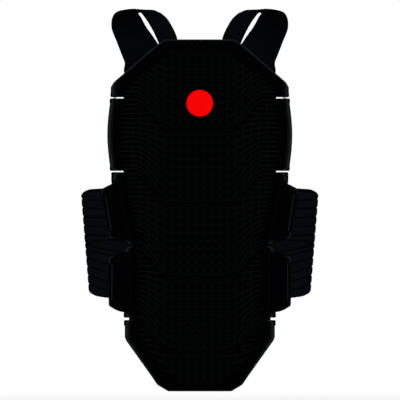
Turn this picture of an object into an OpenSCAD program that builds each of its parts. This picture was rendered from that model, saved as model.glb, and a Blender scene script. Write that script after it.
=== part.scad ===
// Articulated back protector: five hinged plates, shoulder straps and a waist belt.
// X runs to the viewer's right, Y runs from the outer face to the wearer, Z is up.
// The origin is on the wearer's side of the top plate, at the middle of its pad.

/* [Back] */
// Distance between two hinge lines
plate_pitch = 105; // [98:1:112]
// Drop from the top edge to the first hinge line
top_drop = 83; // [78:1:92]
// Drop from the last hinge line to the bottom edge
tail_drop = 103; // [95:1:112]
// Radius of the plates across the back
back_radius = 520; // [440:10:700]
// Open gap between neighbouring plates at the sides
plate_gap = 3.4; // [3:0.1:5]

/* [Widths] */
// Half width of the straight top edge
top_edge_half = 49; // [42:1:56]
// Half width of the top plate at its sides
top_side_half = 127; // [120:1:135]
// Drop from the top edge to the end of the slanted shoulder
shoulder_drop = 61; // [54:1:66]
// Half width of the upper plate at its ends
upper_end_half = 128; // [120:1:135]
// Half width of the upper plate at its middle
upper_mid_half = 132; // [126:1:140]
// Half width of the middle plate at its top
middle_top_half = 125; // [118:1:130]
// Half width of the lower plate, and of the middle plate's foot
lower_half = 107; // [104:1:112]
// Half width of the bottom edge
tail_edge_half = 45; // [38:1:54]
// Slanted cut at a plate's corners beside the gaps
corner_cut = 5; // [3:0.5:6]
// Seen width of the tray's rim at the sides
rim_side = 7.5; // [5:0.5:9]
// Seen width of the tray's rim along the other edges
rim_edge = 2.5; // [1.5:0.5:4]

/* [Lobes] */
// How far a plate's lobe hangs below its hinge line
lobe_depth = 45; // [38:1:50]
// Half width of the lobe's straight foot
lobe_flat = 37; // [30:1:44]
// Half width where the lobe begins
lobe_reach = 91; // [84:1:94]
// Clearance between a lobe and the next shell
lobe_gap = 1.6; // [1.2:0.1:2.4]

/* [Lattice] */
// Distance between two slats at the sides
slat_pitch = 6.7; // [6.2:0.1:6.9]
// Distance from the hinge line to the first slat
slat_first = 9.3; // [8:0.1:10]
// How much the slats spread towards the middle
slat_fan = 0.735; // [0.6:0.005:0.78]
// Drop below the hinge line where slats run straight across
fan_start = 29; // [24:1:34]
// Width of a slat
slat_width = 2.2; // [1.6:0.1:2.8]
// Distance between two upright bars
bar_pitch = 11.2; // [10:0.1:12.4]
// Width of an upright bar
bar_width = 3.8; // [2.8:0.1:5]
// How far the slats stand above the bars
slat_rise = 1; // [0.5:0.1:1.4]
// Solid border from the shell's side edge to the lattice
border = 14; // [11:0.5:18]

/* [Layers] */
// Thickness of a shell
shell_thick = 2.6; // [2:0.1:3.2]
// Thickness of an impact core
core_thick = 10; // [8:0.5:14]
// Thickness of a tray's floor
tray_thick = 2; // [1.6:0.1:3]
// Thickness of a comfort pad
pad_thick = 9; // [8:0.5:14]

/* [Hinges] */
// Diameter of a hinge pin
pin_dia = 3; // [2.5:0.1:3.6]
// Outer diameter of a hinge knuckle
knuckle_dia = 7.6; // [7:0.1:8.4]
// Length of one knuckle
knuckle_length = 14; // [10:0.5:16]

/* [Belt] */
// Half width of the worn belt
belt_half = 167.5; // [160:0.5:176]
// Depth of the worn belt from back to front
belt_depth = 236; // [215:1:260]
// How much the belt narrows for each mm downwards
belt_lean = 0.08; // [0.04:0.01:0.1]
// Thickness of a belt band
band_thick = 3; // [2:0.1:3.4]
// Height of an upper band at its tab
band_height = 72; // [64:1:78]
// Thickness of a tab
tab_thick = 3; // [2:0.1:3.4]
// Height of the belt's closure at the front
closure_height = 100; // [84:1:112]
// Length of the overlap at the front
closure_overlap = 58; // [44:1:66]

/* [Straps] */
// Thickness of a shoulder strap
strap_thick = 3; // [2:0.1:4]
// Diameter of a strap rail's rod
rod_dia = 4; // [3.4:0.1:4.4]
// Diameter of the plain round badge
badge_dia = 38; // [30:1:42]

/* [Hidden] */
$fn = 48;
slack = 0.05;
seat = 0.12;
turn_fn = 200;
hinge_depth = shell_thick + core_thick + tray_thick + 3.4;
tray_front = shell_thick + seat;
floor_front = shell_thick + core_thick + 2 * seat;
tray_back = floor_front + tray_thick;
pad_back = tray_back + seat + pad_thick;
origin_drop = 45;
foot_z = -(top_drop + 3 * plate_pitch + tail_drop);
half_gap = plate_gap / 2;
pin_r = pin_dia / 2;
bore_r = pin_r + slack;
knuckle_r = knuckle_dia / 2;
knuckle_step = knuckle_length + 0.6;
web_long = 11;
bar_count = 9;
slat_count = 14;
badge_z = -91;
badge_r = badge_dia / 2;
neck_run = 11;
neck_fall = 7;
shoulder_round = 4;
shoulder_slope = (shoulder_drop - neck_fall) / (top_side_half - shoulder_round - top_edge_half - neck_run);
belt_start = 32.2;
belt_middle = belt_start + 0.9 * (belt_depth / 2);
tray_arc = back_radius - tray_back;
cut_wide = 3 * top_side_half;
cut_deep = 4 * pad_back;
cut_high = 40;
rod_r = rod_dia / 2;
rail_base = 1.5;
rail_wide = 10;
rail_tip = 5.4;
lug_wall = 1.4;
rail_lift = 4.2 + rod_r;
rail_head_x = 31;
rail_head_z = -11;
rail_foot_x = 107;
rail_foot_z = -76;
rail_head = [-rail_head_x, back_at(rail_head_x) + seat + rail_lift, rail_head_z];
rail_foot = [-rail_foot_x, back_at(rail_foot_x) + seat + rail_lift, rail_foot_z];

function hinge_z(k) = -(top_drop + plate_pitch * (k - 1));
function ease(t) = t <= 0 ? 0 : t >= 1 ? 1 : t * t * (3 - 2 * t);
function lobe(x) = ease((lobe_reach - abs(x)) / (lobe_reach - lobe_flat));
function sag(x, r) = r - sqrt(r * r - x * x);
function back_at(x) = tray_back + sag(x, tray_arc);
function lobe_edge(k, x) = hinge_z(k) + half_gap - (lobe_depth + half_gap - lobe_gap / 2) * lobe(x);
function nook_edge(k, x) = hinge_z(k) - half_gap - (lobe_depth - half_gap + lobe_gap / 2) * lobe(x);
function plate_top(k) = k == 1 ? 0 : hinge_z(k - 1) - half_gap;
function plate_foot(k) = k == 5 ? foot_z : hinge_z(k) + half_gap;

taper_start = 13;
tail_start = 26;
tail_run = 15;
tail_rise = 9;
function mix(a, b, f) = a + (b - a) * f;
function corner(s) = corner_cut - 0.13 * s;
function top_corner(x, z, c) = [[x - c, z], [x, z - c]];
function foot_corner(x, z, c) = [[x, z + c], [x - c, z]];

// Right half of a plate's outline from top to foot, drawn in by a side inset and an edge inset.
function half_one(s, e) =
  let (xs = top_side_half - s, xa = top_edge_half + neck_run - 0.65 * e, za = -neck_fall - 0.76 * e,
    zs = za - shoulder_slope * (xs - shoulder_round - xa))
  concat([[top_edge_half - 0.4 * e, -e], [xa, za], [xs - shoulder_round, zs], [xs, zs - neck_fall]],
    foot_corner(xs, plate_foot(1), corner(s)));
function half_two(s) =
  let (c = corner(s), z1 = plate_top(2) - c, z0 = plate_foot(2) + c, x0 = upper_end_half - s)
  concat([[x0 - c, plate_top(2)]],
    [for (i = [0:8]) [x0 + (upper_mid_half - upper_end_half) * sin(180 * i / 8), mix(z1, z0, i / 8)]],
    [[x0 - c, plate_foot(2)]]);
function half_three(s) =
  let (x1 = middle_top_half - s, x0 = lower_half - s)
  concat(top_corner(x1, plate_top(3), corner(s)), [[x1, plate_top(3) - taper_start]],
    foot_corner(x0, plate_foot(3), corner(s)));
function half_four(s) =
  concat(top_corner(lower_half - s, plate_top(4), corner(s)),
    foot_corner(lower_half - s, plate_foot(4), corner(s)));
function half_five(s, e) =
  let (xs = lower_half - s, zs = hinge_z(4) - tail_start, xa = tail_edge_half + tail_run - 0.6 * e,
    za = foot_z + tail_rise + 0.8 * e)
  concat(top_corner(xs, plate_top(5), corner(s)),
    [[xs, zs], [xs - 2, zs - 5], [xa, za], [tail_edge_half - 0.3 * e, foot_z + e]]);
function half_line(k, s, e) =
  k == 1 ? half_one(s, e) :
  k == 2 ? half_two(s) :
  k == 3 ? half_three(s) :
  k == 4 ? half_four(s) : half_five(s, e);

function flip(p) = [for (i = [len(p) - 1:-1:0]) [-p[i][0], p[i][1]]];
function both(p) = concat(p, flip(p));
function edge_table(k) =
  let (p = half_line(k, rim_side, rim_edge))
  [for (i = [len(p) - 1:-1:0]) [p[i][1], p[i][0]]];
function shell_half(k, z) = lookup(z, edge_table(k));
function field_half(k, z) =
  min(shell_half(k, z) - border, shell_half(k, z + 13) - border + 2, shell_half(k, z - 13) - border + 2);

// Outline of a shell: its sides, the nook for the lobe above and its own lobe below.
lobe_x = [for (i = [0:22]) lobe_reach * i / 22];
function shell_half_line(k) =
  concat(
    k == 1 ? [] : [for (x = lobe_x) [x, nook_edge(k - 1, x)]],
    half_line(k, rim_side, rim_edge),
    k == 5 ? [] : [for (i = [22:-1:0]) [lobe_x[i], lobe_edge(k, lobe_x[i])]]);

function slat_z(k, i, x) =
  let (d = slat_first + slat_pitch * i) hinge_z(k - 1) - d - slat_fan * (d - fan_start) * lobe(x);
function roof_z(k, x) = k == 1 ? -17 : nook_edge(k - 1, x) - 5;
function bar_x(j) = bar_pitch * (j - 0.5);
function hole_top(k, i, x) = min(slat_z(k, i, x) - slat_width / 2, roof_z(k, x));
function hole_foot(k, i, x) = max(slat_z(k, i + 1, x) + slat_width / 2, foot_z + 12);
function hole_tall(k, i, x) = hole_top(k, i, x) - hole_foot(k, i, x);
function near_badge(k, x, z) = k == 1 && norm([x, z - badge_z]) < badge_dia / 2 + 4;

// Cells of the lattice on the right half: cell 0 is the middle one, cell j lies outside bar j.
function cell_in(j) = j == 0 ? (bar_width - bar_pitch) / 2 : bar_x(j) + bar_width / 2;
function cell_out(k, i, j) =
  let (xa = cell_in(j), room = field_half(k, (hole_top(k, i, xa) + hole_foot(k, i, xa)) / 2))
  j == 0 ? -xa : j == bar_count ? room : min(bar_x(j + 1) - bar_width / 2, room);
function is_open(k, i, j) =
  let (xa = cell_in(j), xb = cell_out(k, i, j), zm = (hole_top(k, i, xa) + hole_foot(k, i, xb)) / 2)
  min(hole_tall(k, i, xa), hole_tall(k, i, xb)) > 1.8 && xb - xa > 3.5 && !near_badge(k, (xa + xb) / 2, zm);

module placed() translate([0, -pad_back, origin_drop]) children();

// A slab seen from the front as the given outline, between two depths below the outer face.
module slab(points, d0, d1) {
  intersection() {
    translate([0, 70, 0])
      rotate([90, 0, 0])
        linear_extrude(90)
          polygon(points);
    translate([0, back_radius, foot_z - 20])
      difference() {
        cylinder(r = back_radius - d0, h = 60 - foot_z, $fn = turn_fn);
        translate([0, 0, -1])
          cylinder(r = back_radius - d1, h = 62 - foot_z, $fn = turn_fn);
      }
  }
}

module front_prism(depth) {
  translate([0, depth, 0])
    rotate([90, 0, 0])
      linear_extrude(depth + 20)
        children();
}

// A piece of the gap between two slats, drawn in from them by the given margin.
module between(k, i, xa, xb, margin) {
  polygon([[xa, hole_foot(k, i, xa) + margin], [xb, hole_foot(k, i, xb) + margin],
    [xb, hole_top(k, i, xb) - margin], [xa, hole_top(k, i, xa) - margin]]);
}

module both_halves() {
  children();
  mirror([1, 0])
    children();
}

module holes(k) {
  for (i = [0:slat_count - 2]) {
    if (is_open(k, i, 0))
      between(k, i, cell_in(0), -cell_in(0), 0);
    for (j = [1:bar_count])
      if (is_open(k, i, j))
        both_halves()
          between(k, i, cell_in(j), cell_out(k, i, j), 0);
  }
}

// Lowers the bars between the slats, from hole to hole.
module bar_cuts(k) {
  lap = bar_width / 2 + 0.4;
  difference() {
    front_prism(60)
      for (i = [0:slat_count - 2], j = [1:bar_count])
        if (is_open(k, i, j - 1) && is_open(k, i, j))
          both_halves()
            between(k, i, bar_x(j) - lap, bar_x(j) + lap, 0.15);
    translate([0, back_radius, foot_z - 20])
      cylinder(r = back_radius - slat_rise, h = 60 - foot_z, $fn = turn_fn);
  }
}

module shell(k) {
  color([0.03, 0.03, 0.035])
    placed()
      difference() {
        slab(both(shell_half_line(k)), 0, shell_thick);
        front_prism(60)
          holes(k);
        bar_cuts(k);
      }
}

// Room under a lobe, so that it can dip when the back bends.
lobe_room = 2.8;

module core(k) {
  color([0.1, 0.1, 0.11])
    placed()
      difference() {
        slab(both(half_line(k, rim_side + 3, rim_edge + 3)), shell_thick + seat, floor_front - seat);
        edge_trim(k, 1.2);
        if (k > 1)
          slab(both([for (x = [0:6:lobe_reach + 5]) [x, hinge_z(k - 1) - 4 - lobe_depth * lobe(x * 0.95)]]),
            -1, shell_thick + lobe_room);
        if (k > 1)
          slab(both([[lobe_reach + 5, hinge_z(k - 1) + 5], [lobe_reach + 5, hinge_z(k - 1) - 6],
            [0, hinge_z(k - 1) - 6]]), -1, shell_thick + lobe_room);
      }
}

// Cuts a piece back from its plate's hinge lines.
module edge_trim(k, deep) {
  if (k > 1)
    translate([-cut_wide / 2, -5, plate_top(k) - deep])
      cube([cut_wide, cut_deep, cut_high]);
  if (k < 5)
    translate([-cut_wide / 2, -5, plate_foot(k) + deep - cut_high])
      cube([cut_wide, cut_deep, cut_high]);
}

// Knuckle places along a hinge line: odd ones belong to the plate above.
function knuckle_x(i) = knuckle_step * (i - 2);

module barrel(k, i) {
  translate([knuckle_x(i), hinge_depth, hinge_z(k)])
    rotate([0, 90, 0])
      cylinder(r = knuckle_r, h = knuckle_length, center = true);
}

module barrel_room(k, i) {
  translate([knuckle_x(i), hinge_depth, hinge_z(k)])
    rotate([0, 90, 0])
      cylinder(r = knuckle_r + 0.7, h = knuckle_length + 1.1, center = true);
}

module pin_bore(k) {
  translate([0, hinge_depth, hinge_z(k)])
    rotate([0, 90, 0])
      cylinder(r = bore_r, h = 5 * knuckle_step + 4, center = true);
}

// Joins a knuckle to its tray's floor, which it enters from behind.
module web(k, i, way) {
  front = floor_front + 0.3 + sag(abs(knuckle_x(i)) + knuckle_length / 2, tray_arc);
  translate([knuckle_x(i) - knuckle_length / 2, front, hinge_z(k) + (way > 0 ? 0 : -web_long)])
    cube([knuckle_length, hinge_depth - front, web_long]);
}

function rim_tilt(k) = k == 3 ? atan((middle_top_half - lower_half) / (plate_pitch - 20)) : 0;
function rim_half(k) =
  k == 1 ? top_side_half :
  k == 2 ? upper_mid_half - 1 :
  k == 3 ? (middle_top_half + lower_half) / 2 : lower_half;

// Slopes the rim of a tray back at its sides.
module rim_slope(k) {
  zm = (plate_top(k) + plate_foot(k)) / 2;
  x0 = rim_half(k) - rim_side;
  d0 = tray_front + sag(x0, back_radius);
  d1 = tray_front + 7 + sag(rim_half(k), back_radius);
  for (side = [-1, 1])
    translate([0, 0, zm])
      mirror([side < 0 ? 1 : 0, 0, 0])
        translate([rim_half(k), 0, 0])
          rotate([0, rim_tilt(k), 0])
            linear_extrude(170, center = true)
              polygon([[-rim_side, d0 - 20], [-rim_side, d0], [0.5, d1 + 0.5],
                [30, d1 + 8], [30, d0 - 20]]);
}

function tab_top(k) = k == 3 ? hinge_z(2) - 14.5 : hinge_z(3) - 10;
function tab_foot(k) = k == 3 ? hinge_z(3) + 5 : hinge_z(4) + 10.5;

// The notch in a tray's rim where a belt tab comes out.
module tab_notch(k) {
  for (side = [-1, 1])
    translate([0, 0, (tab_top(k) + tab_foot(k)) / 2])
      mirror([side < 0 ? 1 : 0, 0, 0])
        translate([rim_half(k) - rim_side - 3, -5, 0])
          rotate([0, rim_tilt(k), 0])
            translate([0, 0, -(tab_top(k) - tab_foot(k)) / 2 - 1.5])
              cube([40, 60, tab_top(k) - tab_foot(k) + 3]);
}

module tray(k) {
  color([0.09, 0.13, 0.13])
    placed()
      difference() {
        union() {
          difference() {
            slab(both(half_line(k, 0, 0)), tray_front, tray_back);
            slab(both(half_line(k, rim_side + 2.6, rim_edge + 2.6)), -1, floor_front);
            rim_slope(k);
            if (k == 3 || k == 4)
              tab_notch(k);
            if (k < 5)
              for (i = [0:4])
                barrel_room(k, i);
            if (k > 1)
              for (i = [0:4])
                barrel_room(k - 1, i);
          }
          if (k < 5)
            for (i = [0, 2, 4]) {
              barrel(k, i);
              web(k, i, 1);
            }
          if (k > 1)
            for (i = [1, 3]) {
              barrel(k - 1, i);
              web(k - 1, i, -1);
            }
        }
        if (k < 5)
          pin_bore(k);
        if (k > 1)
          pin_bore(k - 1);
        if (k == 3 || k == 4)
          rivet_holes(k);
      }
}

pad_end = 9;
wide_pad = 102;
slim_pad = 76;
tail_pad = 84;
top_pad = 72;
function pad_half(k) =
  k == 1 ? [[top_pad - 50, -24], [top_pad - 38, -27], [top_pad - 4, -57], [top_pad, -64], [top_pad, -76]] :
  k == 2 ? [[wide_pad - 6, plate_top(2) - pad_end], [wide_pad, plate_top(2) - 30],
    [wide_pad, plate_foot(2) + 30], [wide_pad - 6, plate_foot(2) + pad_end]] :
  k == 5 ? [[tail_pad - 4, plate_top(5) - pad_end], [tail_pad, hinge_z(4) - 24],
    [tail_edge_half + 7, foot_z + 17], [tail_edge_half - 7, foot_z + 12]] :
  [[slim_pad - 2, plate_top(k) - pad_end], [slim_pad, plate_top(k) - 20],
    [slim_pad, plate_foot(k) + 20], [slim_pad - 2, plate_foot(k) + pad_end]];
function drawn_in(p, d, zm) = [for (q = p) [q[0] - d, q[1] + (q[1] > zm ? -d : d)]];

// The thin lining flap that a pad lets down behind the gap to the next plate.
function flap_half(k) =
  let (h = hinge_z(k), r = k < 3 ? 109 : k == 3 ? 92 : 101)
  [[66, h + 16], [66, h + 2.2], [r, h + 2.2], [r, h - 6]];

module pad(k) {
  p = pad_half(k);
  zm = (p[0][1] + p[len(p) - 1][1]) / 2;
  color([0.16, 0.16, 0.17])
    placed()
      difference() {
        union() {
          slab(both(p), tray_back + seat, pad_back - 3.5);
          slab(both(drawn_in(p, 3, zm)), tray_back + 1, pad_back - 1.2);
          slab(both(drawn_in(p, 7, zm)), tray_back + 1, pad_back);
          if (k < 5)
            slab(both(flap_half(k)), tray_back + 2.8, tray_back + 4.6);
        }
        for (h = [max(1, k - 1):min(4, k)])
          translate([-2.5 * knuckle_step - 3, tray_back - 4, hinge_z(h) - 14])
            cube([5 * knuckle_step + 6, 30, 28]);
        translate([-7, pad_back - 4.5, foot_z])
          cube([14, 30, -foot_z]);
      }
}

module hinge_pin(k) {
  color([0.5, 0.5, 0.52])
    placed()
      translate([0, hinge_depth, hinge_z(k)])
        rotate([0, 90, 0])
          cylinder(r = pin_r, h = 5 * knuckle_step + 1, center = true);
}

module badge() {
  color([0.75, 0.05, 0.08])
    placed()
      translate([0, 0, badge_z])
        rotate([90, 0, 0])
          rotate_extrude($fn = 72)
            polygon([[0, 0.02], [badge_r - 1, 0.02], [badge_r, 0.9], [badge_r, 1.6], [badge_r - 0.8, 2.4],
              [badge_r - 2.4, 2.4], [badge_r - 3, 1.8], [6, 2.6], [0, 2.8]]);
}

// A strip with four corners at each of its stations; both broad faces are split the same way.
module strip(rings) {
  n = len(rings);
  last = 4 * n - 4;
  polyhedron(
    points = [for (r = rings) each r],
    faces = concat(
      [[0, 2, 1], [0, 3, 2]],
      [for (i = [0:n - 2], c = [0, 1, 3])
        let (a = 4 * i + c, b = 4 * i + (c + 1) % 4)
        each [[a, b, b + 4], [a, b + 4, a + 4]]],
      [for (i = [0:n - 2]) let (a = 4 * i + 2, b = 4 * i + 3) each [[a, b, a + 4], [b, b + 4, a + 4]]],
      [[last, last + 1, last + 2], [last, last + 2, last + 3]]),
    convexity = 6);
}

function turned(side, rings) =
  side < 0 ? rings : [for (r = rings) [for (i = [3:-1:0]) [-r[i][0], r[i][1], r[i][2]]]];

// Plan of the belt: a rounded loop; t = -90 is the back, 0 the wearer's side, 90 the front.
bulge = 2 / 2.6;
function root(v) = sign(v) * pow(abs(v), bulge);
function belt_top() = hinge_z(2) - 24;
function lean_share(t) = ease((t + 58) / 45);
function belt_point(t, z, off) =
  let (a = belt_half - belt_lean * (belt_top() - z) * lean_share(t) + off, b = belt_depth / 2 + off)
  [-a * root(cos(t)), belt_middle + b * root(sin(t)), z];
function belt_t(x) = -acos(pow(x / belt_half, 1.3));
function belt_ring(t, z1, z0, off, thick) =
  [belt_point(t, z1, off + thick / 2), belt_point(t, z0, off + thick / 2),
    belt_point(t, z0, off - thick / 2), belt_point(t, z1, off - thick / 2)];

band_start = 109;
band_t = belt_t(band_start);
seam_gap = 0.015;
function upper_top(f) = belt_top() - 4 * f - 5 * ease((f - 0.5) * 2);
function upper_foot(f) = mix(belt_top() - band_height, belt_top() - band_height - 6, f);
function lower_top(f) = mix(belt_top() - band_height - 19, belt_top() - band_height - 6.6, f);
function lower_foot(f) = belt_top() - 2 * band_height - 13 + 7 * f + 2.5 * ease((f - 0.5) * 2);
side_steps = 14;
side_rings = [for (i = [0:side_steps]) i / side_steps];

module band_upper(side) {
  color([0.06, 0.07, 0.12])
    placed()
      strip(turned(side, [for (f = side_rings)
        belt_ring(mix(band_t, -seam_gap, f), upper_top(f), upper_foot(f), 0, band_thick)]));
}

module band_lower(side) {
  color([0.06, 0.07, 0.12])
    placed()
      strip(turned(side, [for (f = side_rings)
        belt_ring(mix(band_t, -seam_gap, f), lower_top(f), lower_foot(f), 0, band_thick)]));
}

module gusset(side) {
  off = -band_thick / 2 - 0.75;
  color([0.05, 0.06, 0.1])
    placed()
      strip(turned(side, [for (i = [0:8]) let (f = i / 8 * 0.7)
        belt_ring(mix(band_t, 0, f), upper_foot(f) + 8, lower_top(f) - 8, off, 1.2)]));
}

// A tab lies flat on its tray, then follows the belt outside the bands.
tab_flat = [76, 84, 92];
tab_share = [0, 0.25, 0.5, 0.75, 0.9, 1];
function tab_reach(k, f, high) = k == 3 ? mix(105, high ? 140.5 : 130, f) : mix(105, 128, f);
function tab_rise(k, f) = k == 3 ? tab_top(3) + 0.5 - 11.5 * f * f : tab_top(4) - 0.5 - 6 * f * f;
function tab_fall(k, f) = k == 3 ? tab_foot(3) + 5 * f * f : tab_foot(4) - 0.5 + 9.5 * f * f;
function tab_ring(k, f) =
  let (z1 = tab_rise(k, f), z0 = tab_fall(k, f),
    t1 = belt_t(tab_reach(k, f, true)), t0 = belt_t(tab_reach(k, f, false)))
  [belt_point(t1, z1, tab_off + tab_thick / 2), belt_point(t0, z0, tab_off + tab_thick / 2),
    belt_point(t0, z0, tab_off - tab_thick / 2), belt_point(t1, z1, tab_off - tab_thick / 2)];
function flat_ring(x, z1, z0) =
  let (y0 = back_at(x) + seat, y1 = y0 + tab_thick)
  [[-x, y0, z1], [-x, y0, z0], [-x, y1, z0], [-x, y1, z1]];
tab_off = (band_thick + tab_thick) / 2 + 0.15;

module tab(k, side) {
  color([0.02, 0.02, 0.02])
    placed()
      difference() {
        strip(turned(side, concat(
          [for (x = tab_flat) flat_ring(x, tab_rise(k, 0), tab_fall(k, 0))],
          [for (f = tab_share) tab_ring(k, f)])));
        rivet_holes(k);
      }
}

function rivet_z(k) = [tab_top(k) - 18, (tab_top(k) + tab_foot(k)) / 2, tab_foot(k) + 18];
rivet_x = 84;

module rivet_holes(k) {
  for (side = [-1, 1], z = rivet_z(k))
    translate([side * rivet_x, 10, z])
      rotate([-90, 0, 0])
        cylinder(r = 1.6, h = 30, $fn = 24);
}

module tab_rivets(k) {
  back = back_at(rivet_x) + seat + tab_thick + 1.2;
  color([0.35, 0.35, 0.37])
    placed()
      for (side = [-1, 1], z = rivet_z(k))
        translate([side * rivet_x, back, z])
          rotate([-90, 0, 0])
            rotate_extrude($fn = 36)
              polygon([[0, -tab_thick - tray_thick - 1], [1.55, -tab_thick - tray_thick - 1], [1.55, -0.05],
                [4, -0.05], [4, 0.5], [3, 1.2], [0, 1.5]]);
}

// Front panels close at the wearer's front; the left one lies over the right one.
layer = band_thick + 2.7;
function panel_top(f) = mix(upper_top(1), belt_top() - 72 + closure_height / 2 - 5, ease(f));
function panel_foot(f) = mix(lower_foot(1), belt_top() - 72 - closure_height / 2 - 5, ease(f));
front_a = belt_half - belt_lean * 72;
function tip_cut(f) = 14 * pow(ease((f - 0.9) / 0.1), 2);
function over_angle(x) = 180 - acos(pow(x / front_a, 1.3));

module front_panel_left() {
  last = over_angle(closure_overlap);
  color([0.06, 0.07, 0.12])
    placed()
      strip([for (i = [0:36]) let (f = i / 36, t = mix(seam_gap, last, f), g = min(1, t / 85))
        belt_ring(t, panel_top(g) - tip_cut(f), panel_foot(g) + tip_cut(f),
          layer * ease(g * 1.2), band_thick)]);
}

module front_panel_right() {
  color([0.06, 0.07, 0.12])
    placed()
      strip(turned(1, [for (i = [0:32]) let (f = i / 32, t = mix(seam_gap, 91, f), g = min(1, t / 85))
        belt_ring(t, panel_top(g), panel_foot(g), 0, band_thick)]));
}

function patch_rings(off, x0, x1) = [for (i = [0:9]) let (t = mix(over_angle(x0), over_angle(x1), i / 9))
  belt_ring(t, panel_top(1) - 16, panel_foot(1) + 16, off, 1.1)];

module hook_patch() {
  color([0.02, 0.02, 0.02])
    placed()
      strip(patch_rings(layer - band_thick / 2 - 0.65, 8, closure_overlap - 4));
}

module loop_patch() {
  color([0.04, 0.04, 0.05])
    placed()
      strip(patch_rings(band_thick / 2 + 0.65, 6, closure_overlap + 6));
}

// A rod along the slanted shoulder of the top plate; both ends of a strap are sewn round it.
rail_way = (rail_foot - rail_head) / norm(rail_foot - rail_head);
rail_long = norm(rail_foot - rail_head);
rail_out = let (v = [0, 1, 0] - rail_way[1] * rail_way) v / norm(v);
rail_up = cross(rail_way, rail_out);
function rail_point(s) = rail_head + s * rail_way;
hem_long = 23;
head_hem = [3, 3 + hem_long];
foot_hem = [rail_long - 8 - hem_long, rail_long - 8];

module rail_frame() {
  multmatrix([[rail_way[0], rail_out[0], rail_up[0], rail_head[0]],
    [rail_way[1], rail_out[1], rail_up[1], rail_head[1]],
    [rail_way[2], rail_out[2], rail_up[2], rail_head[2]],
    [0, 0, 0, 1]])
    children();
}

module mirrored(side) mirror([side > 0 ? 1 : 0, 0, 0]) children();

module along(s0, s1, r) {
  translate([s0, 0, 0])
    rotate([0, 90, 0])
      cylinder(r = r, h = s1 - s0, $fn = 32);
}

module lug(s0, s1) {
  along(s0, s1, rod_r + lug_wall);
  translate([s0, -rail_lift - 2, -rod_r - lug_wall])
    cube([s1 - s0, rail_lift + 2, 2 * rod_r + 2 * lug_wall]);
}

// Seen from the front, a strip as wide as the rail's base.
function rail_strip(wide) =
  let (a = [-rail_head_x, rail_head_z], b = [-rail_foot_x, rail_foot_z], v = (b - a) / norm(b - a),
    w = [-v[1], v[0]] * wide / 2)
  [a - rail_tip * v + w, b + w, b - w, a - rail_tip * v - w];

module strap_rail(side) {
  back = tray_back + seat;
  color([0.3, 0.3, 0.32])
    placed()
      mirrored(side)
        difference() {
          union() {
            rail_frame() {
              along(1 - rail_tip, rail_long - 1, rod_r);
              lug(-rail_tip, -1);
              lug(head_hem[1] + 0.6, head_hem[1] + 5);
              lug(foot_hem[0] - 5, foot_hem[0] - 0.6);
              lug(foot_hem[1] + 0.6, foot_hem[1] + 5);
            }
            slab(rail_strip(rail_wide), back, back + rail_base);
          }
          slab(rail_strip(3 * rail_wide), back - 12, back);
        }
}

// Centre line of a strap and its half width, from the head hem over the shoulder to the foot hem.
strap_knots = [
  [rail_point((head_hem[0] + head_hem[1]) / 2), (0.5 - hem_long / 2) * rail_way],
  [[-44.7, rail_head[1] + 0.4, -3], [11.2, -1, 6.4]],
  [[-56.9, 29, 20], [11.9, 4, 6.7]],
  [[-66.9, 38, 34], [12, 11, 2]],
  [[-84, 62, 42.3], [17.5, 12.5, -0.4]],
  [[-104, 89, 38.5], [16.5, 14, 1.5]],
  [[-105.5, 108, 26], [20.5, 3, 6]],
  [[-97.7, 117, 8.6], [20.7, 0, 10]],
  [[-88.5, 119, -8.6], [23.5, 0, 9.5]],
  [[-84, 117, -26], [23, 0, 6]],
  [[-86, 110, -43], [22, 0, 2]],
  [[-85, 97, -59], [16, 0, 0]],
  [[-85.5, 85, -66], [12.5, 0, 0]],
  [[-87, 68, -70], [12.5, 0, 0]],
  [[-88.5, 51, -74], [12.5, 0, 0]],
  [[-89.5, 40, -68.5], [10, -1, 5.4]],
  [rail_point((foot_hem[0] + foot_hem[1]) / 2), (0.5 - hem_long / 2) * rail_way]];
function knot(i, c) = strap_knots[max(0, min(len(strap_knots) - 1, i))][c];
function smooth(i, f, c) =
  let (a = knot(i - 1, c), b = knot(i, c), d = knot(i + 1, c), e = knot(i + 2, c))
  b + f * ((d - a) / 2 + f * ((2 * a - 5 * b + 4 * d - e) / 2 + f * (3 * b - a - 3 * d + e) / 2));
function tangent(i, f) = smooth(i, f + 0.02, 0) - smooth(i, f - 0.02, 0);
function strap_ring(i, f) =
  let (p = smooth(i, f, 0), w = smooth(i, f, 1), v = cross(w, tangent(i, f)),
    h = v / norm(v) * strap_thick / 2)
  [p + w + h, p - w + h, p - w - h, p + w - h];
strap_rings = concat([for (i = [0:len(strap_knots) - 2], f = [0, 1 / 3, 2 / 3]) strap_ring(i, f)],
  [strap_ring(len(strap_knots) - 2, 1)]);

module strap(side) {
  color([0.05, 0.05, 0.08])
    placed()
      difference() {
        union() {
          strip(turned(side, strap_rings));
          mirrored(side)
            rail_frame() {
              along(head_hem[0], head_hem[1], rod_r + 2);
              along(foot_hem[0], foot_hem[1], rod_r + 2);
            }
        }
        mirrored(side)
          rail_frame()
            along(-10, rail_long + 10, rod_r + slack);
      }
}

// A slider that rides on a strap's lower run.
slider_knot = 13;
slider_at = knot(slider_knot, 0);
slider_way = let (v = tangent(slider_knot, 0)) v / norm(v);
slider_out = let (v = cross(slider_way, [1, 0, 0])) v / norm(v);
slider_wide = cross(slider_out, slider_way);

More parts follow.
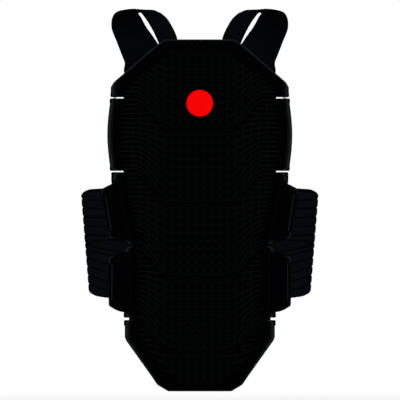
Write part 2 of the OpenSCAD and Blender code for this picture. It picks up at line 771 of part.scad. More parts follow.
module strap_slider(side) {
  gap = strap_thick / 2 + 1.25;
  color([0.02, 0.02, 0.02])
    placed()
      mirrored(side)
        multmatrix([[slider_way[0], slider_wide[0], slider_out[0], slider_at[0]],
          [slider_way[1], slider_wide[1], slider_out[1], slider_at[1]],
          [slider_way[2], slider_wide[2], slider_out[2], slider_at[2]],
          [0, 0, 0, 1]])
          difference() {
            translate([-9, -17, -gap - 2])
              cube([18, 34, 2 * gap + 4]);
            translate([-20, -14, -gap])
              cube([40, 28, 2 * gap]);
            for (a = [-6, 1])
              translate([a, -11, -20])
                cube([5, 22, 20]);
            translate([-3.5, -11, 0])
              cube([7, 22, 20]);
          }
}

shell(1);  // shell_top
shell(2);  // shell_upper
shell(3);  // shell_middle
shell(4);  // shell_lower
shell(5);  // shell_tail
core(1);  // core_top
core(2);  // core_upper
core(3);  // core_middle
core(4);  // core_lower
core(5);  // core_tail
tray(1);  // tray_top
tray(2);  // tray_upper
tray(3);  // tray_middle
tray(4);  // tray_lower
tray(5);  // tray_tail
pad(1);  // pad_top
pad(2);  // pad_upper
pad(3);  // pad_middle
pad(4);  // pad_lower
pad(5);  // pad_tail
hinge_pin(1);  // hinge_pin_1
hinge_pin(2);  // hinge_pin_2
hinge_pin(3);  // hinge_pin_3
hinge_pin(4);  // hinge_pin_4
badge();
strap(-1);  // strap_left
strap(1);  // strap_right
strap_rail(-1);  // strap_rail_left
strap_rail(1);  // strap_rail_right
strap_slider(-1);  // strap_slider_left
strap_slider(1);  // strap_slider_right
tab(3, -1);  // tab_middle_left
tab(3, 1);  // tab_middle_right
tab(4, -1);  // tab_lower_left
tab(4, 1);  // tab_lower_right
tab_rivets(3);  // tab_rivets_middle
tab_rivets(4);  // tab_rivets_lower
band_upper(-1);  // band_upper_left
band_upper(1);  // band_upper_right
band_lower(-1);  // band_lower_left
band_lower(1);  // band_lower_right
gusset(-1);  // gusset_left
gusset(1);  // gusset_right
front_panel_left();
front_panel_right();
hook_patch();
loop_patch();
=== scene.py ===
"""Dresses the articulated back protector: ribbed plates, comfort pads, straps and an elastic belt."""
import itertools
import math
import bmesh
import bpy
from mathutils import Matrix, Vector

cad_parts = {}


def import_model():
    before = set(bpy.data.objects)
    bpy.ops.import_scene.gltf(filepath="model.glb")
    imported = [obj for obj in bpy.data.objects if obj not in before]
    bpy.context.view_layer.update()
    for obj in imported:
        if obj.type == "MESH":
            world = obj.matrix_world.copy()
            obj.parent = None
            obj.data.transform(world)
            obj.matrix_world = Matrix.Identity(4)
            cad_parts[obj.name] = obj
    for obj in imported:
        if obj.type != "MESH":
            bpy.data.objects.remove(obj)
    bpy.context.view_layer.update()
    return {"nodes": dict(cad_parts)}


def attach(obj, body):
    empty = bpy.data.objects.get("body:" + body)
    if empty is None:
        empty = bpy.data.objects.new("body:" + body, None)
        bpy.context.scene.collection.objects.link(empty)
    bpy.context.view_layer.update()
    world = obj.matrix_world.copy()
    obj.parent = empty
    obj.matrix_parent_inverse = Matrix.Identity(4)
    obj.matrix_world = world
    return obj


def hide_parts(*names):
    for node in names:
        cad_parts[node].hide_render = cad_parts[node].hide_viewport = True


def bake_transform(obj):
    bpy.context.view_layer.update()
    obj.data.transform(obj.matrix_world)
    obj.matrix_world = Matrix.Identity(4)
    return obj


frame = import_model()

scene = bpy.context.scene
scene.view_settings.view_transform = "Standard"

# Sizes in millimetres, in the part's own frame: x to the viewer's right, depth from the outer face
# towards the wearer, z up from the top plate's top edge.
PLATES = {1: "top", 2: "upper", 3: "middle", 4: "lower", 5: "tail"}
SIDES = {-1: "left", 1: "right"}
PITCH = 105.0
TOP_DROP = 83.0
FOOT_Z = -501.0
HALF_GAP = 1.7
TOP_HALF = 127.0
UPPER_HALF = 128.0
MIDDLE_HALF = 125.0
WAIST_HALF = 107.0
CORNER_CUT = 5.0
BACK_RADIUS = 520.0
TRAY_FRONT = 2.72
TRAY_BACK = 14.84
TRAY_ARC = BACK_RADIUS - TRAY_BACK
PAD_BACK = 23.96
ORIGIN_DROP = 45.0
SEAT = 0.12
LOBE_DEPTH = 45.0
LOBE_FLAT = 37.0
LOBE_REACH = 91.0
LOBE_GAP = 1.6
SLAT_PITCH = 6.7
SLAT_FIRST = 9.3
SLAT_FAN = 0.735
FAN_START = 29.0
SLAT_COUNT = 14
SLAT_WIDTH = 2.2
SLAT_RISE = 1.0
BAR_PITCH = 11.2
BAR_WIDTH = 3.8
BAR_COUNT = 9
BORDER = 14.0
CORNER_REACH = 13.0
TOP_ROOF = -17.0
ROOF_GAP = 5.0
LATTICE_FOOT = FOOT_Z + 12
RIM_SIDE = 7.5
RIM_EDGE = 2.5
BADGE_Z = -91.0
BADGE_CLEAR = 23.0
BELT_HALF = 169.4
BELT_LEAN = 0.08
LEAN_FROM = -58.0
LEAN_OVER = 45.0
BELT_TOP = -212.0
BELT_MIDDLE = 138.4
BELT_REACH = 118.0
BELT_POWER = 2.6
BAND_THICK = 3.0
BAND_HEIGHT = 72.0
RIB_PITCH = 12.6
RIB_RISE = 1.3
TAB_START = 105.0
TAB_OFF = 3.15
TAB_CORNER = 5.5
LAYER = 5.7
STRAP_THICK = 3.0


def mix(a, b, f):
    return a + (b - a) * f


def ease(t):
    t = min(1.0, max(0.0, t))
    return t * t * (3 - 2 * t)


def steps(a, b, count):
    return [mix(a, b, i / count) for i in range(count + 1)]


def world(p):
    """A point of the part's frame in Blender's metres."""
    return (p[0] / 1000, (p[1] - PAD_BACK) / 1000, (p[2] + ORIGIN_DROP) / 1000)


# Forms of the plates.

def hinge_z(k):
    return -(TOP_DROP + PITCH * (k - 1))


def lobe(x):
    return ease((LOBE_REACH - abs(x)) / (LOBE_REACH - LOBE_FLAT))


def sag(x, radius):
    return radius - math.sqrt(radius * radius - x * x)


def back_at(x):
    return TRAY_BACK + sag(x, TRAY_ARC)


def lobe_edge(k, x):
    return hinge_z(k) + HALF_GAP - (LOBE_DEPTH + HALF_GAP - LOBE_GAP / 2) * lobe(x)


def nook_edge(k, x):
    return hinge_z(k) - HALF_GAP - (LOBE_DEPTH - HALF_GAP + LOBE_GAP / 2) * lobe(x)


def plate_top(k):
    return 0.0 if k == 1 else hinge_z(k - 1) - HALF_GAP


def plate_foot(k):
    return FOOT_Z if k == 5 else hinge_z(k) + HALF_GAP


def half_line(k, s, e):
    """Right half of a plate's outline from top to foot, drawn in at its sides and its edges."""
    c = CORNER_CUT - 0.13 * s
    top, foot = plate_top(k), plate_foot(k)
    if k == 1:
        xs, xa, za = TOP_HALF - s, 60 - 0.65 * e, -7 - 0.76 * e
        zs = za - 54 / 63 * (xs - 4 - xa)
        return [(49 - 0.4 * e, -e), (xa, za), (xs - 4, zs), (xs, zs - 7), (xs, foot + c), (xs - c, foot)]
    if k == 2:
        xs = UPPER_HALF - s
        side = [(xs + 4 * math.sin(math.pi * i / 8), mix(top - c, foot + c, i / 8)) for i in range(9)]
        return [(xs - c, top)] + side + [(xs - c, foot)]
    x0 = WAIST_HALF - s
    if k == 3:
        x1 = MIDDLE_HALF - s
        return [(x1 - c, top), (x1, top - c), (x1, top - 13), (x0, foot + c), (x0 - c, foot)]
    if k == 4:
        return [(x0 - c, top), (x0, top - c), (x0, foot + c), (x0 - c, foot)]
    zs = hinge_z(4) - 26
    return [(x0 - c, top), (x0, top - c), (x0, zs), (x0 - 2, zs - 5),
            (60 - 0.6 * e, FOOT_Z + 9 + 0.8 * e), (45 - 0.3 * e, FOOT_Z + e)]


def lookup(z, line):
    """Half width of an outline at a height."""
    if z >= line[0][1]:
        return line[0][0]
    for (xa, za), (xb, zb) in zip(line, line[1:]):
        if zb <= z <= za and za > zb:
            return mix(xa, xb, (za - z) / (za - zb))
    return line[-1][0]


def field_half(k, z):
    """Half width of the lattice at a height, drawn in near the outline's corners."""
    line = half_line(k, RIM_SIDE, RIM_EDGE)
    near = min(lookup(z + CORNER_REACH, line), lookup(z - CORNER_REACH, line)) - BORDER + 2
    return min(lookup(z, line) - BORDER, near)


def slat_z(k, i, x):
    drop = SLAT_FIRST + SLAT_PITCH * i
    return hinge_z(k - 1) - drop - SLAT_FAN * (drop - FAN_START) * lobe(x)


def roof_z(k, x):
    return TOP_ROOF if k == 1 else nook_edge(k - 1, x) - ROOF_GAP


# Mesh forms: lists of points with one texture place and one tone each, and faces. The tone is painted light:
# below one it paints a cloth's colour darker as shade, and one keeps it lit.

class Form:
    """A mesh in the making, in millimetres."""

    def __init__(self):
        self.points, self.places, self.tones, self.faces = [], [], [], []

    def add(self, points, faces, places, tones=None):
        base = len(self.points)
        self.points += [tuple(p) for p in points]
        self.places += places
        self.tones += tones or [1.0] * len(points)
        self.faces += [tuple(base + i for i in face) for face in faces]

    def mirrored(self):
        other = Form()
        other.points = [(-p[0], p[1], p[2]) for p in self.points]
        other.places = list(self.places)
        other.tones = list(self.tones)
        other.faces = [face[::-1] for face in self.faces]
        return other

    def on(self, side):
        """The form as drawn for the left, or its mirror image for the right."""
        return self if side < 0 else self.mirrored()


def volume(points, faces):
    """Six times the volume inside closed faces of four corners; negative where they face inwards."""
    start = Vector(points[0])
    total = 0.0
    for face in faces:
        a, b, c, d = (Vector(points[i]) - start for i in face)
        total += a.dot(b.cross(c)) + a.dot(c.cross(d))
    return total


def sheet_form(us, vs, spot):
    """A closed sheet over a grid: spot gives a point of each face, a texture place and maybe a tone, which is
    painted shade where it is below one.
    """
    spots = [spot(u, v) for u in us for v in vs]
    rows, cols, half = len(us), len(vs), len(spots)
    points = [s[0] for s in spots] + [s[1] for s in spots]
    faces = []
    for a in (r * cols + c for r in range(rows - 1) for c in range(cols - 1)):
        faces.append((a, a + 1, a + cols + 1, a + cols))
        faces.append((half + a + cols, half + a + cols + 1, half + a + 1, half + a))
    rim = list(range(cols)) + [r * cols + cols - 1 for r in range(1, rows)]
    rim += [(rows - 1) * cols + c for c in range(cols - 2, -1, -1)]
    rim += [r * cols for r in range(rows - 2, 0, -1)]
    for a, b in zip(rim, rim[1:] + rim[:1]):
        faces.append((b, a, half + a, half + b))
    if volume(points, faces) < 0:
        faces = [face[::-1] for face in faces]
    tones = [s[3] if len(s) > 3 else 1.0 for s in spots]
    form = Form()
    form.add(points, faces, [s[2] for s in spots] * 2, tones + [1.0] * half)
    return form


def runs_along(path):
    """Length of a path up to each of its points."""
    runs = [0.0]
    for a, b in zip(path, path[1:]):
        runs.append(runs[-1] + (Vector(b) - Vector(a)).length)
    return runs


def way_at(path, i):
    """Direction of a path at one of its points."""
    return (path[min(i + 1, len(path) - 1)] - path[max(i - 1, 0)]).normalized()


def frames_along(path):
    """A tangent and two cross directions at each point of a path, carried along without twist."""
    path = [Vector(p) for p in path]
    result, side = [], None
    for i, p in enumerate(path):
        tangent = way_at(path, i)
        if side is None:
            side = tangent.orthogonal()
        side = (side - tangent * side.dot(tangent)).normalized()
        result.append((p, tangent, side, tangent.cross(side)))
    return result


def add_skin(form, points, places, ring, turned=False, closed=False, tones=None):
    """Joins rings of points into a skin that has two ends or is closed on itself; turned faces it over."""
    last, total = len(points) - ring, len(points)
    ends = [] if closed else [tuple(range(ring)), tuple(range(total - 1, last - 1, -1))]
    faces = ends if turned else [face[::-1] for face in ends]
    for start in range(0, total if closed else last, ring):
        for j in range(ring):
            a, b = start + j, start + (j + 1) % ring
            c, d = (b + ring) % total, (a + ring) % total
            faces.append((a, d, c, b) if turned else (a, b, c, d))
    form.add(points, faces, places, tones)


def round_turns(sides):
    return [math.tau * j / sides for j in range(sides)]


TUBE_END_LONG = 0.6
TUBE_END_WIDE = 0.55


def add_tube(form, path, radius, sides=8, round_ends=True, tones=None):
    """A round cord along a path, with rounded or flat ends; tones has a painted-light value for each of its
    points.
    """
    frames = frames_along(path)
    stations = [(p, a, b, radius) for p, _, a, b in frames]
    if round_ends:
        for (p, tangent, a, b), at, way in ((frames[0], 0, -1), (frames[-1], len(frames) + 1, 1)):
            stations.insert(at, (p + tangent * (way * radius * TUBE_END_LONG), a, b, radius * TUBE_END_WIDE))
        tones = tones and [tones[0]] + tones + [tones[-1]]
    points, places = [], []
    for (p, a, b, r), run in zip(stations, runs_along([s[0] for s in stations])):
        for turn in round_turns(sides):
            points.append(p + a * (r * math.cos(turn)) + b * (r * math.sin(turn)))
            places.append((run, r * turn))
    add_skin(form, points, places, sides, tones=tones and [t for t in tones for _ in range(sides)])


BEAD_TURNS = [math.pi * j / 5 for j in range(6)]
BEAD_RING = len(BEAD_TURNS) + 1
BEAD_SINK = 0.05
BEAD_ROOT = 0.35
BEAD_END_HIGH = 0.12
BEAD_END_WIDE = 0.4


def half_ring(p, side, normal, wide, high, root):
    """Half a ring that stands on a surface, with one point below it."""
    arch = [p + side * (wide * math.cos(turn)) + normal * (high * math.sin(turn) - BEAD_SINK)
            for turn in BEAD_TURNS]
    return arch + [p - normal * root]


def add_bead(form, path, normals, widths, height, taper=0.0):
    """A half round rib that stands on a surface, with ends that run out into it."""
    path = [Vector(p) for p in path]
    runs = runs_along(path)
    points, places = [], []
    for i, (p, run, width) in enumerate(zip(path, runs, widths)):
        normal = Vector(normals[i])
        side = way_at(path, i).cross(normal).normalized()
        share = mix(BEAD_END_HIGH, 1, ease(min(run, runs[-1] - run) / taper)) if taper else 1.0
        wide = width / 2 * mix(BEAD_END_WIDE, 1, share)
        points += half_ring(p, side, normal, wide, height * share, BEAD_ROOT)
        places += [(run, width * turn / math.pi) for turn in BEAD_TURNS] + [(run, width)]
    add_skin(form, points, places, BEAD_RING, True)


def add_stitches(form, path, radius=0.42, length=3.0, gap=1.9):
    """A row of stitches along a path: short threads with rounded ends."""
    path = [Vector(p) for p in path]
    runs = runs_along(path)

    def at(run):
        for i in range(len(path) - 1):
            if run <= runs[i + 1]:
                return path[i].lerp(path[i + 1], (run - runs[i]) / max(1e-9, runs[i + 1] - runs[i]))
        return path[-1]

    start = gap
    while start + length < runs[-1]:
        add_tube(form, [at(start), at(start + length / 2), at(start + length)], radius, 6)
        start += length + gap


WELD = 3e-6
SHARP = math.radians(50)


def build(name, form, material):
    """A mesh object of a form, in metres, with its texture places as a UV map."""
    mesh = bpy.data.meshes.new(name)
    mesh.from_pydata([world(p) for p in form.points], [], form.faces)
    layer = mesh.uv_layers.new(name="places")
    for loop in mesh.loops:
        place = form.places[loop.vertex_index]
        layer.data[loop.index].uv = (place[0] / 1000, place[1] / 1000)
    # The tone attribute carries painted shade and painted highlight for the cloth materials.
    tone = mesh.attributes.new("tone", "FLOAT", "POINT")
    tone.data.foreach_set("value", form.tones)
    welded = bmesh.new()
    welded.from_mesh(mesh)
    bmesh.ops.remove_doubles(welded, verts=welded.verts, dist=WELD)
    welded.to_mesh(mesh)
    welded.free()
    mesh.validate()
    mesh.shade_smooth()
    mesh.set_sharp_from_angle(angle=SHARP)
    mesh.materials.append(material)
    obj = bpy.data.objects.new(name, mesh)
    scene.collection.objects.link(obj)
    return obj


def carry(obj, body):
    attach(obj, body)


def trim(name, form, material, body):
    """A piece that only rides on a body."""
    carry(build(name, form, material), body)


# Materials.

def add_node(tree, kind, sockets=None, **settings):
    made = tree.nodes.new(kind)
    for key, value in settings.items():
        setattr(made, key, value)
    for key, value in (sockets or {}).items():
        if isinstance(value, bpy.types.NodeSocket):
            tree.links.new(value, made.inputs[key])
        else:
            made.inputs[key].default_value = value
    return made


def coords(tree, kind="Object"):
    return add_node(tree, "ShaderNodeTexCoord").outputs[kind]


def calc(tree, operation, a, b=0.5):
    return add_node(tree, "ShaderNodeMath", {0: a, 1: b}, operation=operation).outputs[0]


def spread(tree, value, low, high, first=0.0, last=1.0, kind="LINEAR"):
    """A value that runs from low to high while another runs from first to last."""
    ends = {"Value": value, "From Min": first, "From Max": last, "To Min": low, "To Max": high}
    return add_node(tree, "ShaderNodeMapRange", ends, interpolation_type=kind).outputs[0]


def colour_mix(tree, amount, dark, light):
    """A colour between two others, which are values or sockets."""
    ends = [end if isinstance(end, bpy.types.NodeSocket) else (*end, 1) for end in (dark, light)]
    made = add_node(tree, "ShaderNodeMix", {"Factor": amount, 6: ends[0], 7: ends[1]}, data_type="RGBA")
    return made.outputs[2]


def noise(tree, place, scale, detail=3.0, rough=0.6):
    made = add_node(tree, "ShaderNodeTexNoise",
                    {"Vector": place, "Scale": scale, "Detail": detail, "Roughness": rough})
    return made.outputs[0]


def stretched(tree, place, factors):
    return add_node(tree, "ShaderNodeMapping", {"Vector": place, "Scale": factors}).outputs[0]


def waves(tree, place, direction, pitch):
    return add_node(tree, "ShaderNodeTexWave",
                    {"Vector": place, "Scale": math.pi / (10 * pitch), "Distortion": 0.0},
                    bands_direction=direction).outputs["Fac"]


def surface(name, rough, specular, space="Object", metallic=0.0, sheen=0.0):
    """A new material with its plain values set, its node tree and its texture places."""
    material = bpy.data.materials.new(name)
    material.use_nodes = True
    tree = material.node_tree
    values = {"Roughness": rough, "Specular IOR Level": specular, "Metallic": metallic, "Sheen Weight": sheen}
    for socket, value in values.items():
        tree.nodes["Principled BSDF"].inputs[socket].default_value = value
    return material, tree, coords(tree, space)


def drive(tree, tone, dark, light, dull, low, high, height, strength, depth):
    """Drives the base colour from dark to light, the roughness from low to high, and the relief."""
    shader = tree.nodes["Principled BSDF"].inputs
    relief = add_node(tree, "ShaderNodeBump", {"Height": height, "Strength": strength, "Distance": depth})
    tree.links.new(colour_mix(tree, tone, dark, light), shader["Base Color"])
    tree.links.new(spread(tree, dull, low, high), shader["Roughness"])
    tree.links.new(relief.outputs[0], shader["Normal"])


def moulded(name, dark, light, rough, specular, grain=900.0, depth=0.00012, streak=(1, 1, 1)):
    """Moulded plastic: cloudy tone, fine grain and uneven gloss."""
    material, tree, place = surface(name, rough, specular)
    cloud = spread(tree, noise(tree, stretched(tree, place, streak), 38.0, 4.0), -0.25, 1.25)
    grainy = noise(tree, place, grain, 2.0)
    drive(tree, cloud, dark, light, grainy, rough - 0.1, rough + 0.12, grainy, 0.35, depth)
    return material


def painted_side_highlight(name, middle, side, rough, specular):
    """Moulded plastic with a painted highlight that lightens it towards the plate's sides, in an uneven
    mottle.
    """
    material, tree, place = surface(name, rough, specular)
    away = calc(tree, "ABSOLUTE", add_node(tree, "ShaderNodeSeparateXYZ", {0: place}).outputs[0])
    # Painted highlight: lighter with the distance from the middle, mottled by noise.
    painted_highlight = spread(tree, away, 0.0, 1.0, 0.03, 0.1, "SMOOTHSTEP")
    mottled_highlight = calc(tree, "MULTIPLY", painted_highlight, spread(tree, noise(tree, place, 60.0, 4.0), 0.6, 1.3))
    grainy = noise(tree, place, 900.0, 2.0)
    drive(tree, mottled_highlight, middle, side, grainy, rough - 0.1, rough + 0.12, grainy, 0.3, 0.0001)
    return material


def woven(name, dark, light, pitch, depth, specular=0.0, sheen=0.0):
    """Cloth of crossing threads along its texture places, with painted shade and highlight from the tone
    attribute: darker where the tone is low, as in sunk grooves.
    """
    material, tree, place = surface(name, 0.78, specular, "UV", sheen=sheen)
    both = calc(tree, "MULTIPLY", waves(tree, place, "X", pitch), waves(tree, place, "Y", pitch))
    cloud = noise(tree, place, 60.0, 3.0)
    lit = colour_mix(tree, spread(tree, calc(tree, "ADD", both, cloud), -0.1, 0.9), dark, light)
    # Painted shade: a low tone mixes the colour towards a much darker copy.
    painted_shade_and_highlight = add_node(tree, "ShaderNodeAttribute", attribute_name="tone").outputs["Fac"]
    drive(tree, painted_shade_and_highlight, [0.15 * c for c in dark], lit, cloud, 0.68, 0.88, both, 0.7, depth)
    return material


def spacer(name, dark, light, pitch, depth):
    """Open spacer mesh: a net of round holes."""
    material, tree, place = surface(name, 0.85, 0.02, "UV", sheen=0.02)
    cells = add_node(tree, "ShaderNodeTexVoronoi", {"Vector": place, "Scale": 1 / pitch, "Randomness": 0.15},
                     voronoi_dimensions="2D").outputs["Distance"]
    net = spread(tree, cells, 0.0, 1.0, 0.18, 0.42)
    cloud = noise(tree, place, 40.0)
    tone = calc(tree, "MULTIPLY", net, spread(tree, cloud, 0.7, 1.2))
    drive(tree, tone, dark, light, cloud, 0.75, 0.95, net, 0.8, depth)
    return material


def fuzzy(name, dark, light, scale, depth):
    """Brushed or hooked tape: a dense nap."""
    material, tree, place = surface(name, 0.9, 0.01, sheen=0.02)
    nap = noise(tree, place, scale, 4.0, 0.75)
    drive(tree, spread(tree, nap, -0.5, 1.5), dark, light, nap, 0.8, 0.98, nap, 0.9, depth)
    return material


def brushed(name, dark, light, rough):
    """Bare metal with fine drawn lines."""
    material, tree, place = surface(name, rough, 0.5, metallic=1.0)
    lines = noise(tree, stretched(tree, place, (1, 14, 14)), 160.0, 4.0)
    drive(tree, lines, dark, light, lines, rough - 0.1, rough + 0.12, lines, 0.25, 0.00005)
    return material


def enamel(name, dark, light):
    """Glossy enamel with a slight unevenness."""
    material, tree, place = surface(name, 0.32, 0.02)
    cloud = noise(tree, place, 120.0)
    drive(tree, cloud, dark, light, cloud, 0.24, 0.38, noise(tree, place, 420.0), 0.12, 0.0001)
    return material


SHELL = moulded("shell_plastic", (0.0001, 0.0001, 0.0002), (0.0004, 0.0004, 0.0005), 0.5, 0.002)
LATTICE = moulded("lattice_plastic", (0.0004, 0.0009, 0.0007), (0.0009, 0.0016, 0.0012), 0.5, 0.005)
# The slat ribs carry a painted highlight: their colour is lighter towards the plates' sides.
RIDGE_SIDE_HIGHLIGHT = painted_side_highlight("ridge_plastic_side_highlight", (0.0004, 0.0009, 0.0007), (0.0023, 0.0032, 0.0028), 0.45, 0.006)
TRAY = moulded("tray_plastic", (0.0009, 0.0013, 0.0014), (0.0018, 0.0025, 0.0026), 0.5, 0.010)
# The rims' teal is the tray's own hue; their lightness is a painted reflection of the bright edge.
RIM_PAINTED_REFLECTION = moulded("rim_rubber_painted_reflection", (0.0044, 0.0092, 0.0096), (0.0068, 0.0134, 0.0140), 0.5, 0.02, 700.0, 0.0001,
              (1, 1, 0.12))
CORE = moulded("core_foam", (0.0003, 0.0003, 0.0003), (0.0006, 0.0006, 0.0006), 0.9, 0.004, 500.0, 0.0003)
RUBBER = moulded("seal_rubber", (0.0004, 0.0004, 0.0004), (0.0009, 0.0009, 0.0009), 0.7, 0.004,
                 1200.0, 0.0001)
SLIDER = moulded("slider_nylon", (0.0020, 0.0020, 0.0022), (0.0040, 0.0040, 0.0044), 0.5, 0.03)
STEEL = brushed("pin_steel", (0.22, 0.22, 0.23), (0.42, 0.42, 0.43), 0.36)
DARK_STEEL = brushed("rail_steel", (0.03, 0.03, 0.032), (0.07, 0.07, 0.075), 0.42)
RED = enamel("badge_enamel", (0.74, 0.0002, 0.0002), (0.92, 0.0008, 0.0008))
STRAP = woven("strap_webbing", (0.0010, 0.0012, 0.0017), (0.0026, 0.0031, 0.0043), 0.0011, 0.00025)
BAND = woven("belt_elastic", (0.0016, 0.0020, 0.0030), (0.0035, 0.0044, 0.0062), 0.0009, 0.0002)
GUSSET = woven("gusset_knit", (0.0024, 0.0032, 0.0044), (0.0049, 0.0065, 0.0089), 0.0014, 0.0003)
TAB = woven("tab_cloth", (0.0004, 0.0004, 0.0004), (0.0009, 0.0009, 0.0010), 0.0008, 0.00012)
PIPING_CORNER_HIGHLIGHT = woven("tab_piping", (0.0056, 0.0066, 0.0132), (0.0112, 0.0130, 0.0250), 0.0012, 0.0002)
THREAD = woven("thread", (0.0082, 0.0094, 0.0190), (0.0146, 0.0164, 0.0320), 0.0006, 0.0001)
BLACK_THREAD = woven("black_thread", (0.0020, 0.0021, 0.0030), (0.0042, 0.0044, 0.0062), 0.0006, 0.0001,
                     0.006, 0.004)
BINDING = woven("binding_tape", (0.0004, 0.0004, 0.0006), (0.0011, 0.0011, 0.0015), 0.0012, 0.0002)
LINING = woven("pad_lining", (0.0010, 0.0010, 0.0012), (0.0028, 0.0028, 0.0032), 0.001, 0.0002, 0.006, 0.004)
MESH = spacer("pad_mesh", (0.0080, 0.0080, 0.0088), (0.0360, 0.0370, 0.0390), 0.0026, 0.0006)
HOOK = fuzzy("hook_tape", (0.0020, 0.0020, 0.0022), (0.0070, 0.0070, 0.0076), 1500.0, 0.0005)
LOOP = fuzzy("loop_tape", (0.0040, 0.0040, 0.0046), (0.0130, 0.0130, 0.0145), 900.0, 0.0006)

FINISH = {"shell": SHELL, "core": CORE, "tray": TRAY, "hinge_pin": STEEL, "badge": RED,
          "strap_rail": DARK_STEEL, "strap_slider": SLIDER, "tab_rivets": DARK_STEEL}
for node_name, node_object in frame["nodes"].items():
    for start, material in FINISH.items():
        if node_name.startswith(start):
            node_object.data.materials.clear()
            node_object.data.materials.append(material)


# Raised ribs of the plates: one along each slat and upright bar, and a lip along each lobe and nook.

RIDGE_NARROW = 2.0
RIDGE_BROAD = 4.6
RIDGE_RISE = 0.85
RIDGE_TAPER = 9.0
SLAT_SAMPLE = 2.75
SLAT_SAMPLES = 44
SLAT_OVERHANG = 4.5
HOLE_TALL = 1.8
HOLE_WIDE = 3.5
BAR_LAP = 0.6
BAR_RIDGE = 0.5
LIP_SAMPLE = 2.6
LIP_INSET = 1.4
LIP_WIDE = 1.5
LIP_RISE = 0.7
LIP_TAPER = 8.0
SIDE_LIP_INSET = 0.9
SIDE_LIP_WIDE = 1.4
SIDE_LIP_RISE = 0.6


def outward(x):
    return (x / BACK_RADIUS, -math.sqrt(1 - (x / BACK_RADIUS) ** 2), 0)


def add_front_bead(form, path, widths, height, taper):
    """A bead on a shell's front face, along a path of x and z."""
    points = [(x, sag(x, BACK_RADIUS), z) for x, z in path]
    add_bead(form, points, [outward(x) for x, z in path], widths, height, taper)


def slat_width(k, i, x):
    """Width of a slat's rib: broad in the middle, narrower where the slats lean and draw together."""
    lean = (slat_z(k, i, x + 1) - slat_z(k, i, x - 1)) / 2
    return mix(RIDGE_NARROW, RIDGE_BROAD, lobe(x)) / math.hypot(1, lean)


def slat_runs(k, i):
    """Stretches of a slat that show, as lists of x."""
    def shows(x):
        z = slat_z(k, i, x)
        clear = k > 1 or math.hypot(x, z - BADGE_Z) > BADGE_CLEAR
        within = abs(x) < field_half(k, z) + SLAT_OVERHANG
        return clear and within and LATTICE_FOOT < z < roof_z(k, x) - 0.4

    samples = [n * SLAT_SAMPLE for n in range(-SLAT_SAMPLES, SLAT_SAMPLES + 1)]
    runs = [list(run) for shown, run in itertools.groupby(samples, shows) if shown]
    return [run for run in runs if len(run) > 3]


def bar_x(j):
    return BAR_PITCH * (j - 0.5)


def hole_top(k, i, x):
    return min(slat_z(k, i, x) - SLAT_WIDTH / 2, roof_z(k, x))


def hole_foot(k, i, x):
    return max(slat_z(k, i + 1, x) + SLAT_WIDTH / 2, LATTICE_FOOT)


def is_open(k, i, j):
    """Whether the lattice has a hole below slat i and outside bar j."""
    a = (BAR_WIDTH - BAR_PITCH) / 2 if j == 0 else bar_x(j) + BAR_WIDTH / 2
    b = field_half(k, (hole_top(k, i, a) + hole_foot(k, i, a)) / 2)
    if j < BAR_COUNT:
        b = -a if j == 0 else min(bar_x(j + 1) - BAR_WIDTH / 2, b)
    middle = (hole_top(k, i, a) + hole_foot(k, i, b)) / 2
    if k == 1 and math.hypot((a + b) / 2, middle - BADGE_Z) < BADGE_CLEAR:
        return False
    tall = min(hole_top(k, i, x) - hole_foot(k, i, x) for x in (a, b))
    return tall > HOLE_TALL and b - a > HOLE_WIDE


def bar_runs(k, j):
    """Stretches of an upright bar between open holes, as lists of z."""
    x = bar_x(j)
    runs = []
    for i in range(SLAT_COUNT - 1):
        if is_open(k, i, j - 1) and is_open(k, i, j):
            top, foot = hole_top(k, i, x) + BAR_LAP, hole_foot(k, i, x) - BAR_LAP
            if runs and runs[-1][-1] < top + 2:
                runs[-1] += [top, foot]
            else:
                runs.append([top, foot])
    return runs


def add_bars(form, k):
    for j in range(1, BAR_COUNT + 1):
        for zs in bar_runs(k, j):
            for x in (-bar_x(j), bar_x(j)):
                depth = SLAT_RISE + sag(x, BACK_RADIUS - SLAT_RISE)
                path = [(x, depth, z) for z in zs]
                add_bead(form, path, [outward(x)] * len(zs), [BAR_WIDTH - 0.2] * len(zs), BAR_RIDGE)


def add_lip(form, line, reach):
    count = int(reach / LIP_SAMPLE)
    path = [(n * LIP_SAMPLE, line(n * LIP_SAMPLE)) for n in range(-count, count + 1)]
    add_front_bead(form, path, [LIP_WIDE] * len(path), LIP_RISE, LIP_TAPER)


def add_side_lips(form, k, line):
    """Lips along a shell's straight sides."""
    ends = [p for p in line if plate_foot(k) + 4 < p[1] < plate_top(k) - 4]
    for side in SIDES:
        path = [(side * (mix(p[0], q[0], f) - SIDE_LIP_INSET), mix(p[1], q[1], f))
                for p, q in zip(ends, ends[1:]) for f in steps(0, 1, 20)]
        add_front_bead(form, path, [SIDE_LIP_WIDE] * len(path), SIDE_LIP_RISE, LIP_TAPER)


for k, plate in PLATES.items():
    ribs, bars = Form(), Form()
    for i in range(SLAT_COUNT):
        for xs in slat_runs(k, i):
            add_front_bead(ribs, [(x, slat_z(k, i, x)) for x in xs], [slat_width(k, i, x) for x in xs],
                           RIDGE_RISE, RIDGE_TAPER)
    line = half_line(k, RIM_SIDE, RIM_EDGE)
    if k < 5:
        add_lip(ribs, lambda x: lobe_edge(k, x) + LIP_INSET, line[-1][0] - 4)
    if k > 1:
        add_lip(ribs, lambda x: nook_edge(k - 1, x) - LIP_INSET, line[0][0] - 4)
    if k in (3, 4):
        add_side_lips(bars, k, line)
    add_bars(bars, k)
    trim("ribs_" + plate, ribs, RIDGE_SIDE_HIGHLIGHT, "back_" + plate)
    trim("bars_" + plate, bars, LATTICE, "back_" + plate)


# Rims of the trays: a soft bead along each free edge, teal like the tray and lighter than it as a painted
# reflection of the edge's highlight.

